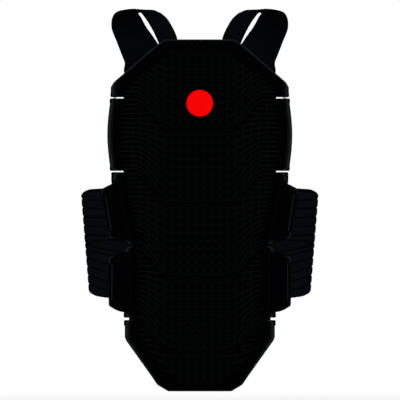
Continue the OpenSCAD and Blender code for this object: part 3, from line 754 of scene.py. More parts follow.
RIM_HALF = {1: TOP_HALF, 2: UPPER_HALF + 3, 3: (MIDDLE_HALF + WAIST_HALF) / 2, 4: WAIST_HALF, 5: WAIST_HALF}
RIM_STEP = 2.5
RIM_INNER = 94.0
RIM_FALL = 7.5
RIM_RISE = 0.9
RIM_ROOT = 0.4
RIM_NARROW = 1.05
RIM_BROAD = 2.0
RIM_DRAWN_IN = 3.6
RIM_EDGE_IN = 1.0
RIM_TURN_IN = 1.0
RIM_CORNER_X = 3.0
RIM_CORNER_Z = 3.2
RIM_OUTWARD = 0.55
RIM_NUB = [(1.4, -0.6), (-1.2, -0.5), (-3.0, 0.9)]


def rim_depth(k, x, z):
    """Depth of a tray's front edge, which slopes back at its sides."""
    tilt = 18 / 85 if k == 3 else 0.0
    middle = (plate_top(k) + plate_foot(k)) / 2
    reach = abs(x) - RIM_HALF[k] - (z - middle) * tilt + RIM_SIDE
    inner_sag = sag(RIM_HALF[k] - RIM_SIDE, BACK_RADIUS)
    fall = RIM_FALL + sag(RIM_HALF[k], BACK_RADIUS) - inner_sag
    slope = TRAY_FRONT + inner_sag + fall * reach / (RIM_SIDE + 0.5)
    return max(TRAY_FRONT + sag(x, BACK_RADIUS), slope if reach > 0 else 0.0)


def dense(line):
    path = []
    for a, b in zip(line, line[1:]):
        count = max(1, int(math.dist(a, b) / RIM_STEP))
        path += [(mix(a[0], b[0], i / count), mix(a[1], b[1], i / count)) for i in range(count)]
    return path + [line[-1]]


def tab_top(k):
    return hinge_z(2) - 14.5 if k == 3 else hinge_z(3) - 10


def tab_foot(k):
    return hinge_z(3) + 5 if k == 3 else hinge_z(4) + 10.5


def tab_span(k, f):
    """Top and foot of a belt tab at a share of its length."""
    if k == 3:
        return tab_top(3) + 0.8 - 10.6 * f * f, tab_foot(3) + 5 * f * f
    return tab_top(4) - 0.5 - 6 * f * f, tab_foot(4) - 1.2 + 8.6 * f * f


def rim_paths(k):
    """Free edges of a plate as seen from the front, from one hinge gap round to the next."""
    line = half_line(k, RIM_DRAWN_IN, RIM_EDGE_IN)
    if k in (2, 3, 5):
        x = line[1][0]
        line[:2] = [(x - RIM_CORNER_X, plate_top(k)), (x, plate_top(k) - RIM_CORNER_Z)]
    if k in (1, 2, 4):
        x = line[-2][0]
        line[-2:] = [(x, plate_foot(k) + RIM_CORNER_Z), (x - RIM_CORNER_X, plate_foot(k))]
    if k > 1:
        x, z = line[0]
        turn = [(x + a, z - b) for a, b in RIM_NUB[::-1]] if k == 2 else [(x, z - RIM_TURN_IN)]
        line = [(RIM_INNER, z - RIM_TURN_IN)] + turn + line[1:]
    if k < 5:
        x, z = line[-1]
        turn = [(x + a, z + b) for a, b in RIM_NUB] if k == 1 else [(x, z + RIM_TURN_IN)]
        line = line[:-1] + turn + [(RIM_INNER, z + RIM_TURN_IN)]
    flipped = [(-x, z) for x, z in line]
    if k == 1:
        return [dense(flipped[::-1] + line)]
    if k == 5:
        return [dense(line + flipped[::-1])]
    paths = [dense(line), dense(flipped)]
    if k in (3, 4):
        below = hinge_z(3) + 7 if k == 3 else tab_foot(4) - 3
        sides, paths = paths, []
        for path in sides:
            paths.append([p for p in path if p[1] > tab_top(k) + 1])
            paths.append([p for p in path if p[1] < below])
    return [path for path in paths if len(path) > 2]


def add_rim(form, k, path):
    """A bead along a tray's edge, broader and turned outwards where the edge is upright."""
    points = [Vector((x, rim_depth(k, x, z), z)) for x, z in path]
    rings, places = [], []
    for i, p in enumerate(points):
        way = way_at(points, i)
        steep = min(1.0, abs(way.z)) ** 6
        wide = mix(RIM_NARROW, RIM_BROAD, steep)
        facing = Vector((math.copysign(RIM_OUTWARD * steep, p.x), -1, 0)).normalized()
        side = way.cross(facing).normalized()
        rings += half_ring(p, side, side.cross(way), wide, RIM_RISE, RIM_ROOT)
        places += [(i * RIM_STEP, wide * turn) for turn in BEAD_TURNS] + [(i * RIM_STEP, 0.0)]
    add_skin(form, rings, places, BEAD_RING, True)


for k, plate in PLATES.items():
    rim = Form()
    for path in rim_paths(k):
        add_rim(rim, k, path)
    trim("rim_" + plate, rim, RIM_PAINTED_REFLECTION, "back_" + plate)


# Corner guards: they square the trays' corners and narrow the gaps between the plates.

# Plate, whether at its foot, edge, length along the side, how far it stands into the gap and from where.
GUARDS = [(1, True, 127.4, 6.0, 0.8, 104.0), (2, False, 128.6, 6.0, 0.8, 104.0),
          (2, True, 128.4, 6.0, 0.8, 104.0), (3, False, 126.3, 12.5, 0.8, 104.0),
          (4, True, 108.6, 6.6, 0.0, 102.0), (5, False, 108.2, 8.0, 0.0, 102.0)]
GUARD_ROUND = 2.0
GUARD_DEEP = 3.0
GUARD_PROUD = 0.06
GUARD_CLEAR = 0.4
FILLER_LAP = 0.6
FILLER_REACH = 2.3
FILLER_SINK = 0.3
# Start and end of the strip beside a tab, and the tab's length at that edge.
FILLERS = {3: (112.5, 125.8, 34.2), 4: (96.0, 108.2, 24.4)}
SHARES = (0.0, 0.5, 1.0)


def guard_form(k, below, edge, side, into, inner):
    """A guard at a right corner, from the tray's cut corner out to a small round one."""
    end = plate_foot(k) if below else plate_top(k)
    way = 1 if below else -1
    arc = [(edge - GUARD_ROUND * (1 - math.cos(a)), GUARD_ROUND * (1 - math.sin(a)) - into)
           for a in (math.pi / 2 * n / 6 for n in range(7))]
    outer = [(edge, side), (edge, (side + GUARD_ROUND) / 2)] + arc
    outer += [(mix(edge - GUARD_ROUND, inner, f), -into * (1 - f ** 6)) for f in steps(0, 1, 12)[1:]]
    cut = [(edge - 2.6, side), (edge - 3.2, 6.0), (edge - 6.5, 2.4), (inner, 1.6)]

    def spot(share, n):
        f = n / (len(outer) - 1) * (len(cut) - 1)
        i = min(int(f), len(cut) - 2)
        x = mix(mix(cut[i][0], cut[i + 1][0], f - i), outer[n][0], share)
        z = end + way * mix(mix(cut[i][1], cut[i + 1][1], f - i), outer[n][1], share)
        front = rim_depth(k, x, z)
        back = min(back_at(x) - GUARD_CLEAR, front + GUARD_DEEP)
        return (x, front - GUARD_PROUD, z), (x, back, z), (x, z)

    return sheet_form(SHARES, range(len(outer))[::way], spot)


def slot_filler(k):
    """A strip that fills the corner between a tray's notch and the edge of the belt tab in it."""
    start, end, long = FILLERS[k]

    def spot(share, x):
        z1, z0 = tab_span(k, max(0.0, (x - TAB_START) / long))
        if k == 3:
            z = mix(z1 - FILLER_LAP, tab_top(3) + FILLER_REACH, share)
        else:
            z = mix(tab_foot(4) - FILLER_REACH, z0 + FILLER_LAP, share)
        return (x, rim_depth(k, x, z) + FILLER_SINK, z), (x, back_at(x) - GUARD_CLEAR, z), (x, z)

    return sheet_form(SHARES, steps(start, end, 10), spot)


guards = {}
for k, *sizes in GUARDS:
    for form in [guard_form(k, *sizes)] + ([slot_filler(k)] if k in FILLERS else []):
        for made in (form, form.mirrored()):
            guards.setdefault(k, Form()).add(made.points, made.faces, made.places)
for k, form in guards.items():
    trim("rim_corners_" + PLATES[k], form, RUBBER, "back_" + PLATES[k])


# Rubber seals that close the gaps between the cores in front of the hinge knuckles.

SEAL_FRONT = 8.4
SEAL_THICK = 0.8
SEAL_BOW = 0.5
SEAL_TOP = 3.2
SEAL_FOOT = -2.4
SEAL_HALF = 46.0


def seal_form(k):
    """A strip across the gap below a plate, bowed outwards."""
    def spot(up, x):
        bow = SEAL_BOW * math.sin(math.pi * (up - SEAL_FOOT) / (SEAL_TOP - SEAL_FOOT))
        front = SEAL_FRONT - bow + sag(x, BACK_RADIUS)
        z = hinge_z(k) + up
        return (x, front, z), (x, front + SEAL_THICK, z), (x, z)

    return sheet_form(steps(SEAL_TOP, SEAL_FOOT, 5), steps(-SEAL_HALF, SEAL_HALF, 24), spot)


for k in range(1, 5):
    trim("gap_seal_" + PLATES[k], seal_form(k), RUBBER, "back_" + PLATES[k])


# Comfort pads: crowned, sewn into channels, with a bound edge and a groove for the spine.

def straight_pad(k, end, half, corner):
    """Right half of the outline of a pad between two hinges."""
    top, foot = plate_top(k), plate_foot(k)
    return [(end, top - 9), (half, top - corner), (half, foot + corner), (end, foot + 9)]


PAD_LINES = {
    1: [(22, -24), (34, -27), (68, -57), (72, -64), (72, -76)],
    2: straight_pad(2, 96, 102, 30),
    3: straight_pad(3, 74, 76, 20),
    4: straight_pad(4, 74, 76, 20),
    5: [(80, plate_top(5) - 9), (84, hinge_z(4) - 24), (52, FOOT_Z + 17), (38, FOOT_Z + 12)]}
PAD_CHANNELS = {1: 2, 2: 4, 3: 4, 4: 4, 5: 4}
PAD_THICK = PAD_BACK - TRAY_BACK - SEAT
PAD_START = PAD_THICK - 0.9
PAD_ROUND = 9.0
PAD_EDGE = 2.6
PAD_CROWN = 1.3
PAD_PUCKER = 0.28
SPINE_DEEP = 4.6
SPINE_HALF = 4.5
CHANNEL_DEEP = 2.7
CHANNEL_HALF = 2.4
KNUCKLE_REACH = 37.0
KNUCKLE_CUT = 3.6
WELT_RADIUS = 1.25
WELT_LIFT = 1.3
PAD_SWELL = 2.4
PAD_PRESSURE = 20.0
PAD_SLACK = 0.06
PAD_FRAMES = 18


def edge_levels(count, fine):
    """Shares from -1 to 1, close together at both ends."""
    inner = steps(-1 + fine[-1], 1 - fine[-1], count)
    return [-1 + f for f in fine[:-1]] + inner + [1 - f for f in reversed(fine[:-1])]


PAD_ACROSS = edge_levels(44, [0.0, 0.012, 0.03, 0.06, 0.1])
PAD_ALONG = edge_levels(34, [0.0, 0.015, 0.04, 0.08, 0.13])


def pad_end(k, z, x, below):
    """End of a pad at a place across it: shorter beside the hinge knuckles."""
    meets_hinge = k < 5 if below else k > 1
    cut = KNUCKLE_CUT * (1 - ease((abs(x) - KNUCKLE_REACH) / 6)) if meets_hinge else 0.0
    return z + cut if below else z - cut


def pad_height(k, x, z, half, top, foot):
    """Height of a pad above the tray, and how firmly it is sewn down there."""
    side = min(half - abs(x), top - z, z - foot)
    rise = max(PAD_START * (1 - (1 - min(1.0, side / PAD_ROUND)) ** 2.4) ** 0.62, PAD_EDGE)
    crown = PAD_CROWN * (1 - (x / half) ** 2) * ease(side / 14)
    spine = SPINE_DEEP * (1 - ease((abs(x) - SPINE_HALF) / 6.5)) * ease(side / 5)
    channel = 0.0
    for n in range(1, PAD_CHANNELS[k]):
        line = mix(top, foot, n / PAD_CHANNELS[k]) + 7 * (abs(x) / half) ** 2 - 2
        deep = CHANNEL_DEEP * math.exp(-((z - line) / CHANNEL_HALF) ** 2)
        channel = max(channel, deep * ease((abs(x) - 7) / 6) * ease(side / 8))
    pucker = PAD_PUCKER * math.sin(x * 0.55 + 1.3 * k) * channel / CHANNEL_DEEP
    sewn = max(1 - ease((side - 2.5) / 4), ease((channel - 1.9) / 0.6), ease((spine - 2.5) / 1.5))
    return rise + crown - max(spine, channel) + pucker, sewn


def pad_spot(k, v, u):
    """Inner and outer point of a pad, its texture place and how firmly it is sewn down there."""
    line = PAD_LINES[k]
    top, foot = line[0][1], line[-1][1]
    half = lookup(mix(top, foot, (v + 1) / 2), line)
    x = half * u
    z1, z0 = pad_end(k, top, x, False), pad_end(k, foot, x, True)
    z = mix(z1, z0, (v + 1) / 2)
    low = back_at(x) + SEAT
    height, sewn = pad_height(k, x, z, half, z1, z0)
    return (x, low, z), (x, low + height, z), (x, z), sewn


def pad_form(k):
    """A pad's form, the path of its bound edge, and how firmly each of its points is held."""
    spots = {(v, u): pad_spot(k, v, u) for v in PAD_ALONG for u in PAD_ACROSS}
    form = sheet_form(PAD_ALONG, PAD_ACROSS, lambda v, u: spots[v, u][:3])
    edge = [(-1, u) for u in PAD_ACROSS] + [(v, 1) for v in PAD_ALONG[1:]]
    edge += [(1, u) for u in PAD_ACROSS[-2::-1]] + [(v, -1) for v in PAD_ALONG[-2::-1]]
    rim = [(x, y + WELT_LIFT, z) for x, y, z in (spots[at][0] for at in edge)]
    return form, rim, [1.0] * len(spots) + [made[3] for made in spots.values()]


def add_cloth(pad, held):
    """Makes a pad a cloth under pressure that is held where it is sewn down."""
    sewn = pad.vertex_groups.new(name="sewn")
    for index, weight in enumerate(held):
        sewn.add([index], weight, "REPLACE")
    cloth = pad.modifiers.new("swell", "CLOTH").settings
    cloth.quality = 6
    cloth.mass = 0.1
    cloth.tension_stiffness = cloth.compression_stiffness = 14
    cloth.shear_stiffness = 7
    cloth.bending_stiffness = 0.4
    cloth.shrink_min = -PAD_SLACK
    cloth.use_pressure = True
    cloth.uniform_pressure_force = PAD_PRESSURE
    cloth.effector_weights.gravity = 0
    cloth.vertex_group_mass = "sewn"


def swell_pads(pads):
    """Runs the cloth of all pads and keeps the form that it takes, within the swell allowed."""
    for step in range(1, PAD_FRAMES + 1):
        scene.frame_set(step)
    graph = bpy.context.evaluated_depsgraph_get()
    for pad in pads:
        swollen = [v.co.copy() for v in pad.evaluated_get(graph).data.vertices]
        moves = [new - v.co for new, v in zip(swollen, pad.data.vertices)]
        pad.modifiers.clear()
        pad.vertex_groups.clear()
        for v, move in zip(pad.data.vertices, moves):
            v.co += move * min(1.0, PAD_SWELL / 1000 / max(move.length, 1e-9))
        pad.data.update()
    scene.frame_set(1)


pads = {}
for k, plate in PLATES.items():
    form, rim, held = pad_form(k)
    pads[plate] = build("pad_cover_" + plate, form, MESH), rim
    add_cloth(pads[plate][0], held)
swell_pads([pad for pad, _ in pads.values()])
for plate, (pad, rim) in pads.items():
    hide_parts("pad_" + plate)
    carry(pad, "back_" + plate)
    welt = Form()
    add_tube(welt, rim, WELT_RADIUS, round_ends=False)
    trim("pad_welt_" + plate, welt, BINDING, "back_" + plate)


# Lining flaps behind the gaps between the plates.

FLAP_REACH = {1: 109.0, 2: 109.0, 3: 99.0, 4: 101.0}
FLAP_START = 37.4
FLAP_THICK = 1.6
FLAP_DROP = 6.0


def flap_form(k, reach):
    """The left flap of a joint, cut lower along its outer part."""
    h = hinge_z(k)

    def spot(x, share):
        z = mix(h + mix(16, 2.2, ease((x - 64) / 4)), h - FLAP_DROP, share)
        low = back_at(x) + 2.9 + 0.25 * math.sin(0.35 * x) * ease((h + 6 - z) / 10)
        return (-x, low, z), (-x, low + FLAP_THICK, z), (x, z)

    return sheet_form(steps(FLAP_START, reach, 18), steps(0, 1, 10), spot)


for k, reach in FLAP_REACH.items():
    for side, word in SIDES.items():
        flap = build("lining_%s_%s" % (PLATES[k], word), flap_form(k, reach).on(side), LINING)
        carry(flap, "back_" + PLATES[k])


# The belt: a rounded loop seen from above; -90 degrees is the back, 0 the side, 90 the front.

def root(v):
    return math.copysign(abs(v) ** (2 / BELT_POWER), v)


def belt_point(t, z, off):
    lean = BELT_LEAN * (BELT_TOP - z) * ease((t - LEAN_FROM) / LEAN_OVER)
    a = BELT_HALF - lean + off
    b = BELT_REACH + off
    return (-a * root(math.cos(math.radians(t))), BELT_MIDDLE + b * root(math.sin(math.radians(t))), z)


def belt_t(x):
    return -math.degrees(math.acos((x / BELT_HALF) ** (BELT_POWER / 2)))


BAND_START = 109.0
BAND_T = belt_t(BAND_START)
UPPER_GROOVE = -229.7
LOWER_GROOVE = -312.6
BAND_EDGE = 1.15


def upper_top(f):
    return BELT_TOP - 4 * f - 5 * ease((f - 0.5) * 2)


def upper_foot(f):
    return BELT_TOP - BAND_HEIGHT - 6 * f


def lower_top(f):
    return mix(BELT_TOP - BAND_HEIGHT - 19, BELT_TOP - BAND_HEIGHT - 6.6, f)


def lower_foot(f):
    return BELT_TOP - 2 * BAND_HEIGHT - 13 + 7 * f + 2.5 * ease((f - 0.5) * 2)


def upper_groove(f):
    return UPPER_GROOVE + 3.0 * f


def lower_groove(f):
    return LOWER_GROOVE + 14 * (1 - (1 - f) ** 2)


def rib_rise(z, first):
    """Height of the padded ribs of the elastic: sunk at each groove, round between."""
    share = ((z - first) / RIB_PITCH) % 1.0
    return rib_profile(min(share, 1 - share) * RIB_PITCH, RIB_PITCH / 2)


def rib_profile(away, half):
    """Relief of a rib at a distance from its groove."""
    return RIB_RISE * (1 - math.exp(-away ** 2)) * (0.75 + 0.25 * math.sin(math.pi / 2 * away / half))


def edge_round(gap, radius=1.4):
    """How much of a sheet's thickness is left near its edge."""
    return math.sqrt(max(0.0, 1 - (1 - min(1.0, gap / radius)) ** 2))


def strip_levels(count):
    return [0.0, 0.006, 0.014] + steps(0.026, 0.974, count) + [0.986, 0.994, 1.0]


def belt_sheet(fs, angle, high, low, middle, thick, swell, count):
    """A strip of the belt's loop and its length: middle and swell give its offset and its outer relief."""
    line = [belt_point(angle(f), (high(f) + low(f)) / 2, middle(f)) for f in fs]
    runs = dict(zip(fs, runs_along(line)))

    def spot(f, v):
        z1, z0, off = high(f), low(f), middle(f)
        z = mix(z1, z0, v)
        keep = edge_round(min(z1 - z, z - z0))
        relief = swell(f, z)
        outer = belt_point(angle(f), z, off + keep * (thick / 2 + relief) - (1 - keep) * 0.1)
        inner = belt_point(angle(f), z, off - keep * thick / 2)
        # The fourth value is painted shade: darker where the relief is low, in the grooves and where the ribs
        # flatten out towards the tab.
        return outer, inner, (runs[f], z), ease((relief + 0.25) / 0.9)

    return sheet_form(fs, strip_levels(count), spot), runs[fs[-1]]


def band_angle(f):
    return mix(BAND_T, -0.015, f)


def band_edges(high, low):
    form = Form()
    for line in (high, low):
        add_tube(form, [belt_point(band_angle(f), line(f), 0.2) for f in steps(0.06, 0.995, 40)], BAND_EDGE)
    return form


# Top, foot and first groove of a band, its number of levels, its height in metres and the plate of its tab.
BANDS = {"upper": (upper_top, upper_foot, upper_groove, 130, 0.073, "middle"),
         "lower": (lower_top, lower_foot, lower_groove, 120, 0.067, "lower")}
for side, word in SIDES.items():
    for part, (high, low, groove, count, tall, plate) in BANDS.items():
        form, run = belt_sheet(steps(0, 1, 30), band_angle, high, low, lambda f: 0.0, BAND_THICK - 0.6,
                               lambda f, z: rib_rise(z, groove(f)) * ease(f * 12) - 0.3, count)
        band = build("elastic_%s_%s" % (part, word), form.on(side), BAND)
        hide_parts("band_%s_%s" % (part, word))
        edges = build("elastic_binding_%s_%s" % (part, word), band_edges(high, low).on(side), BINDING)
        for obj in (band, edges):
            if part == "upper":
                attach(obj, "back_middle")
            else:
                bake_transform(obj)

    form, run = belt_sheet(steps(-0.105, 0.985, 30), lambda f: mix(BAND_T, 0, f), lambda f: upper_foot(f) + 8,
                           lambda f: lower_top(f) - 8, lambda f: -2.25 + 3 * ease(-f / 0.105), 1.2,
                           lambda f, z: 0.3, 16)
    gusset = build("gusset_knit_" + word, form.on(side), GUSSET)
    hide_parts("gusset_" + word)
    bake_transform(gusset)


# Tabs of coated cloth that join the belt to the plates, with a piped edge and stitches.

TAB_LEVELS = steps(-1, 0, 10)[:-1] + steps(0, 0.94, 14) + [0.965, 0.98, 0.992, 1.0]
TAB_BEND = [0.004, 0.012, 0.025, 0.042, 0.065, 0.09]
TAB_ENDS = {3: (139.2, 127.4), 4: (128.0, 129.4)}
TAB_INNER = 76.0
TAB_LIFT_FROM = 92.0
TAB_ROUND = 1.4
TAB_CROWN = 0.5
PIPING_RADIUS = 1.2
PIPING_INSET = 2.2
PIPING_MARGIN = 0.034
SEAM_INSET = 6.3


def tab_end(k, v):
    """Where a tab ends on the belt, across it from top to foot."""
    return mix(*TAB_ENDS[k], v)


def tab_inset(k, v, inset):
    """Share of a tab's length at a distance from its end."""
    return 1 - inset / (tab_end(k, v) - TAB_START)


def tab_point(k, f, v, off):
    """A point of a tab: f runs along it (below 0 on the tray), v across it, off outwards."""
    z1, z0 = tab_span(k, max(0.0, f))
    z = mix(z1, z0, v)
    corner = TAB_CORNER if k == 3 or v < 0.5 else 3.5
    near = max(0.0, 1 - min(v, 1 - v) * (z1 - z0) / corner)
    end = tab_end(k, v) - corner * (1 - math.sqrt(1 - near * near))
    if f >= 0:
        return belt_point(belt_t(mix(TAB_START, end, f)), z, TAB_OFF + off)
    x = mix(TAB_START, TAB_INNER, -f)
    flat = back_at(x) + SEAT + 1.5 - off
    bent = belt_point(belt_t(TAB_START), z, TAB_OFF + off)
    return (-x, mix(flat, bent[1], ease((x - TAB_LIFT_FROM) / (TAB_START - TAB_LIFT_FROM))), z)


def tab_form(k):
    def spot(f, v):
        z1, z0 = tab_span(k, max(0.0, f))
        z = mix(z1, z0, v)
        gap = min(z1 - z, z - z0, (1 - f) * 32 + 0.01)
        keep = edge_round(gap) * TAB_ROUND
        crown = TAB_CROWN * ease(gap / 14) * ease(f * 4)
        return tab_point(k, f, v, keep + crown), tab_point(k, f, v, -keep), (f * 35, z)

    return sheet_form(TAB_LEVELS, strip_levels(22), spot)


def tab_edge(k):
    """Path of the piping: along the top edge, round the end and back along the foot."""
    edge = [(f, 0.0) for f in steps(0.15, 1.0, 10)] + [(1.0, v) for v in TAB_BEND + steps(0.12, 0.88, 12)]
    edge += [(1.0, 1 - v) for v in TAB_BEND[::-1]] + [(f, 1.0) for f in steps(1.0, -0.3, 14)]
    edge = [(f, min(1 - PIPING_MARGIN, max(PIPING_MARGIN, v))) for f, v in edge]
    return list(dict.fromkeys((min(f, tab_inset(k, v, PIPING_INSET)), v) for f, v in edge))


for k in (3, 4):
    plate, body = PLATES[k], "back_" + PLATES[k]
    edge = tab_edge(k)
    # The piping's tone is a painted highlight: the lit colour round the tab's outer corners and along the
    # outer part of its top and foot, much darker elsewhere.
    painted_highlight = [ease((0.15 - min(v, 1 - v)) / 0.05) * ease((f - 0.62) / 0.15) for f, v in edge]
    piping, seam, hem = Form(), Form(), Form()
    add_tube(piping, [tab_point(k, f, v, 1.1) for f, v in edge], PIPING_RADIUS, tones=painted_highlight)
    add_stitches(seam, [tab_point(k, tab_inset(k, v, SEAM_INSET), v, 2.0) for v in steps(0.17, 0.857, 24)],
                 0.75, 3.6, 1.1)
    for v in (0.06, 0.94):
        add_stitches(hem, [tab_point(k, f, v, 1.8) for f in steps(0.1, 0.8, 12)])
    for side, word in SIDES.items():
        tab = build("tab_cloth_%s_%s" % (plate, word), tab_form(k).on(side), TAB)
        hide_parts("tab_%s_%s" % (plate, word))
        carry(tab, body)
        trim("tab_piping_%s_%s" % (plate, word), piping.on(side), PIPING_CORNER_HIGHLIGHT, body)
        trim("tab_stitches_%s_%s" % (plate, word), seam.on(side), THREAD, body)
        trim("tab_hem_%s_%s" % (plate, word), hem.on(side), BLACK_THREAD, body)


# Front panels: the ribbed elastic runs into smooth ends that close on each other.

FRONT_HALF = BELT_HALF - BELT_LEAN * BAND_HEIGHT
PANEL_HALF = BAND_THICK / 2 - 0.3
PANEL_TURN = 85.0
FADE_FROM = 48.0
TIP_CUT = 14.0
PANEL_EDGE = 1.3
PATCH_INSET = 16.0
PATCH_TALL = 68.0
HOOK_MARGIN = 2.0
HOOK_STEP = 2.4
SMOOTH_FROM = 62.0
PANEL_SPAN = upper_top(1) - lower_foot(1)
MIDDLE_GROOVE = -290.3
PANEL_GROOVES = [upper_groove(1) - RIB_PITCH * n for n in range(5)] + [MIDDLE_GROOVE]
PANEL_GROOVES += [lower_groove(1) - RIB_PITCH * n for n in range(5)]


def panel_top(g):
    return mix(upper_top(1), BELT_TOP - 27, ease(g))


def panel_foot(g):
    return mix(lower_foot(1), BELT_TOP - 127, ease(g))


def over_angle(x):
    """Angle of a place on the belt's front."""
    turn = math.degrees(math.acos((abs(x) / FRONT_HALF) ** (BELT_POWER / 2)))
    return 180 - turn if x > 0 else turn


def panel_ribs(v):
    """Relief of the ribs, which follow the panel's taper."""
    z = upper_top(1) - v * PANEL_SPAN
    marks = [upper_top(1) + 6] + PANEL_GROOVES + [lower_foot(1) - 6]
    for a, b in zip(marks, marks[1:]):
        if b <= z <= a:
            return rib_profile(min(a - z, z - b), (a - b) / 2)
    return 0.0


def panel_span(t, f, layer, tip):
    """Top, foot and offset of a panel at an angle, where f is the share of its length."""
    g = max(0.0, min(1.0, t / PANEL_TURN))
    cut = TIP_CUT * ease((f - 0.9) / 0.1) ** 2 if tip else 0.0
    return panel_top(g) - cut, panel_foot(g) + cut, layer * ease(g * 1.2) - (0.45 if t < 0 else 0.0)


def panel_form(last, layer, tip):
    """A panel and its length; its ribs fade into a smooth end, and its start is tucked under the band."""
    levels = [(-0.35, 0.0)] + [(mix(0.0, last, f), f) for f in steps(0, 1, 60)]
    line = []
    for t, f in levels:
        z1, z0, off = panel_span(t, f, layer, tip)
        line.append(belt_point(t, (z1 + z0) / 2, off))
    runs = dict(zip(levels, runs_along(line)))

    def spot(level, v):
        t, f = level
        z1, z0, off = panel_span(t, f, layer, tip)
        z = mix(z1, z0, v)
        keep = min(edge_round((1 - f) * 250 + 0.02), edge_round(min(z1 - z, z - z0)))
        ribbed = 1 - ease((t - FADE_FROM) / (SMOOTH_FROM - FADE_FROM))
        relief = panel_ribs(v) * ribbed
        outer = belt_point(t, z, off + keep * (PANEL_HALF + relief - 0.3 * ribbed))
        inner = belt_point(t, z, off - keep * PANEL_HALF)
        # The fourth value is painted shade: darker in the grooves of the ribbed part, full in the smooth end.
        return outer, inner, (runs[level], z), ease(relief / 0.9 + 1 - ribbed)

    return sheet_form(levels, strip_levels(200), spot), runs[levels[-1]]


def panel_edges(last, layer, tip):
    """Paths of the bound edge, and of the stitches that hold the smooth end."""
    def place(f, v, lift=0.0):
        t = mix(0.015, last, f)
        z1, z0, off = panel_span(t, f, layer, tip)
        return belt_point(t, mix(z1, z0, v), off + lift)

    bound = [place(f, 0.0) for f in steps(0.0005, 1, 46)] + [place(1, v) for v in steps(0, 1, 12)[1:-1]]
    bound += [place(f, 1.0) for f in steps(1, 0.0005, 46)]
    start, lift = SMOOTH_FROM / last, BAND_THICK / 2 + 0.1
    rows = [[place(start, v, lift) for v in steps(0.06, 0.94, 20)]]
    rows += [[place(f, v, lift) for f in steps(start, 0.97, 24)] for v in (0.06, 0.94)]
    return bound, rows


def patch_form(x0, x1, off, thick):
    def spot(f, v):
        t = mix(over_angle(x0), over_angle(x1), f)
        z = mix(panel_top(1) - PATCH_INSET, panel_foot(1) + PATCH_INSET, v)
        keep = edge_round(min(min(v, 1 - v) * PATCH_TALL, min(f, 1 - f) * (x1 - x0)), 1.0)
        lift = keep * thick / 2
        return belt_point(t, z, off + lift), belt_point(t, z, off - lift), (f * (x1 - x0), z)

    along = [0, 0.02, 0.05] + steps(0.09, 0.91, 14) + [0.95, 0.98, 1.0]
    return sheet_form(along, strip_levels(22), spot)


def add_hooks(form, x0, x1, off):
    """Rows of small hooks that stand up from the tape towards the wearer."""
    z1, z0 = panel_top(1) - PATCH_INSET - HOOK_MARGIN, panel_foot(1) + PATCH_INSET + HOOK_MARGIN
    for x in steps(x0 + HOOK_MARGIN, x1 - HOOK_MARGIN, int((x1 - x0 - 2 * HOOK_MARGIN) / HOOK_STEP)):
        for z in steps(z1, z0, int((PATCH_TALL - 2 * HOOK_MARGIN) / HOOK_STEP)):
            foot = Vector(belt_point(over_angle(x), z, off))
            tip = Vector(belt_point(over_angle(x + 0.5), z, off - 0.55))
            add_tube(form, [foot, foot.lerp(tip, 0.6), tip], 0.32, 4, False)


# Angle where a panel ends, its layer in the closed belt and whether its end is cut to a tip.
CLOSURES = {-1: (over_angle(58), LAYER, True), 1: (91.0, 0.0, False)}
for side, word in SIDES.items():
    last, layer, tip = CLOSURES[side]
    form, run = panel_form(last, layer, tip)
    panel = build("panel_" + word, form.on(side), BAND)
    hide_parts("front_panel_" + word)
    bound, rows = panel_edges(last, layer, tip)
    binding, seams = Form(), Form()
    add_tube(binding, bound, PANEL_EDGE)
    for row in rows:
        add_stitches(seams, row)
    binding = build("panel_binding_" + word, binding.on(side), BINDING)
    seams = build("panel_stitches_" + word, seams.on(side), BLACK_THREAD)
    for obj in (panel, binding, seams):
        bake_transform(obj)

HOOK_SPAN = (8, 54)
LOOP_SPAN = (6, 64)
HOOK_OFF = LAYER - BAND_THICK / 2 - 0.65
LOOP_OFF = BAND_THICK / 2 + 0.65
hook_form = patch_form(*HOOK_SPAN, HOOK_OFF + 0.1, 0.9)
add_hooks(hook_form, *HOOK_SPAN, HOOK_OFF - 0.3)
hook = build("hook_tape", hook_form, HOOK)
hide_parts("hook_patch")
carry(hook, "belt_left")
loop = build("loop_tape", patch_form(*LOOP_SPAN, LOOP_OFF, 1.1), LOOP)
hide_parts("loop_patch")
carry(loop, "belt_right")


# Shoulder straps: flat webbing from the head hem over the shoulder to the foot hem.

RAIL_HEAD = Vector((-31, back_at(31) + SEAT + 6.2, -11))
RAIL_FOOT = Vector((-107, back_at(107) + SEAT + 6.2, -76))
RAIL_WAY = (RAIL_FOOT - RAIL_HEAD).normalized()
RAIL_LONG = (RAIL_FOOT - RAIL_HEAD).length
HEM_LONG = 23.0
HEMS = [(3.0, 3.0 + HEM_LONG), (RAIL_LONG - 8 - HEM_LONG, RAIL_LONG - 8)]
SLEEVE_SIDES = 20
SLEEVE_BORE = 2.2
SLEEVE_RADIUS = 4.0
STRAP_EDGE = 1.35
STRAP_SEAM_INSET = 4.2


def rail_point(s):
    return RAIL_HEAD + RAIL_WAY * s


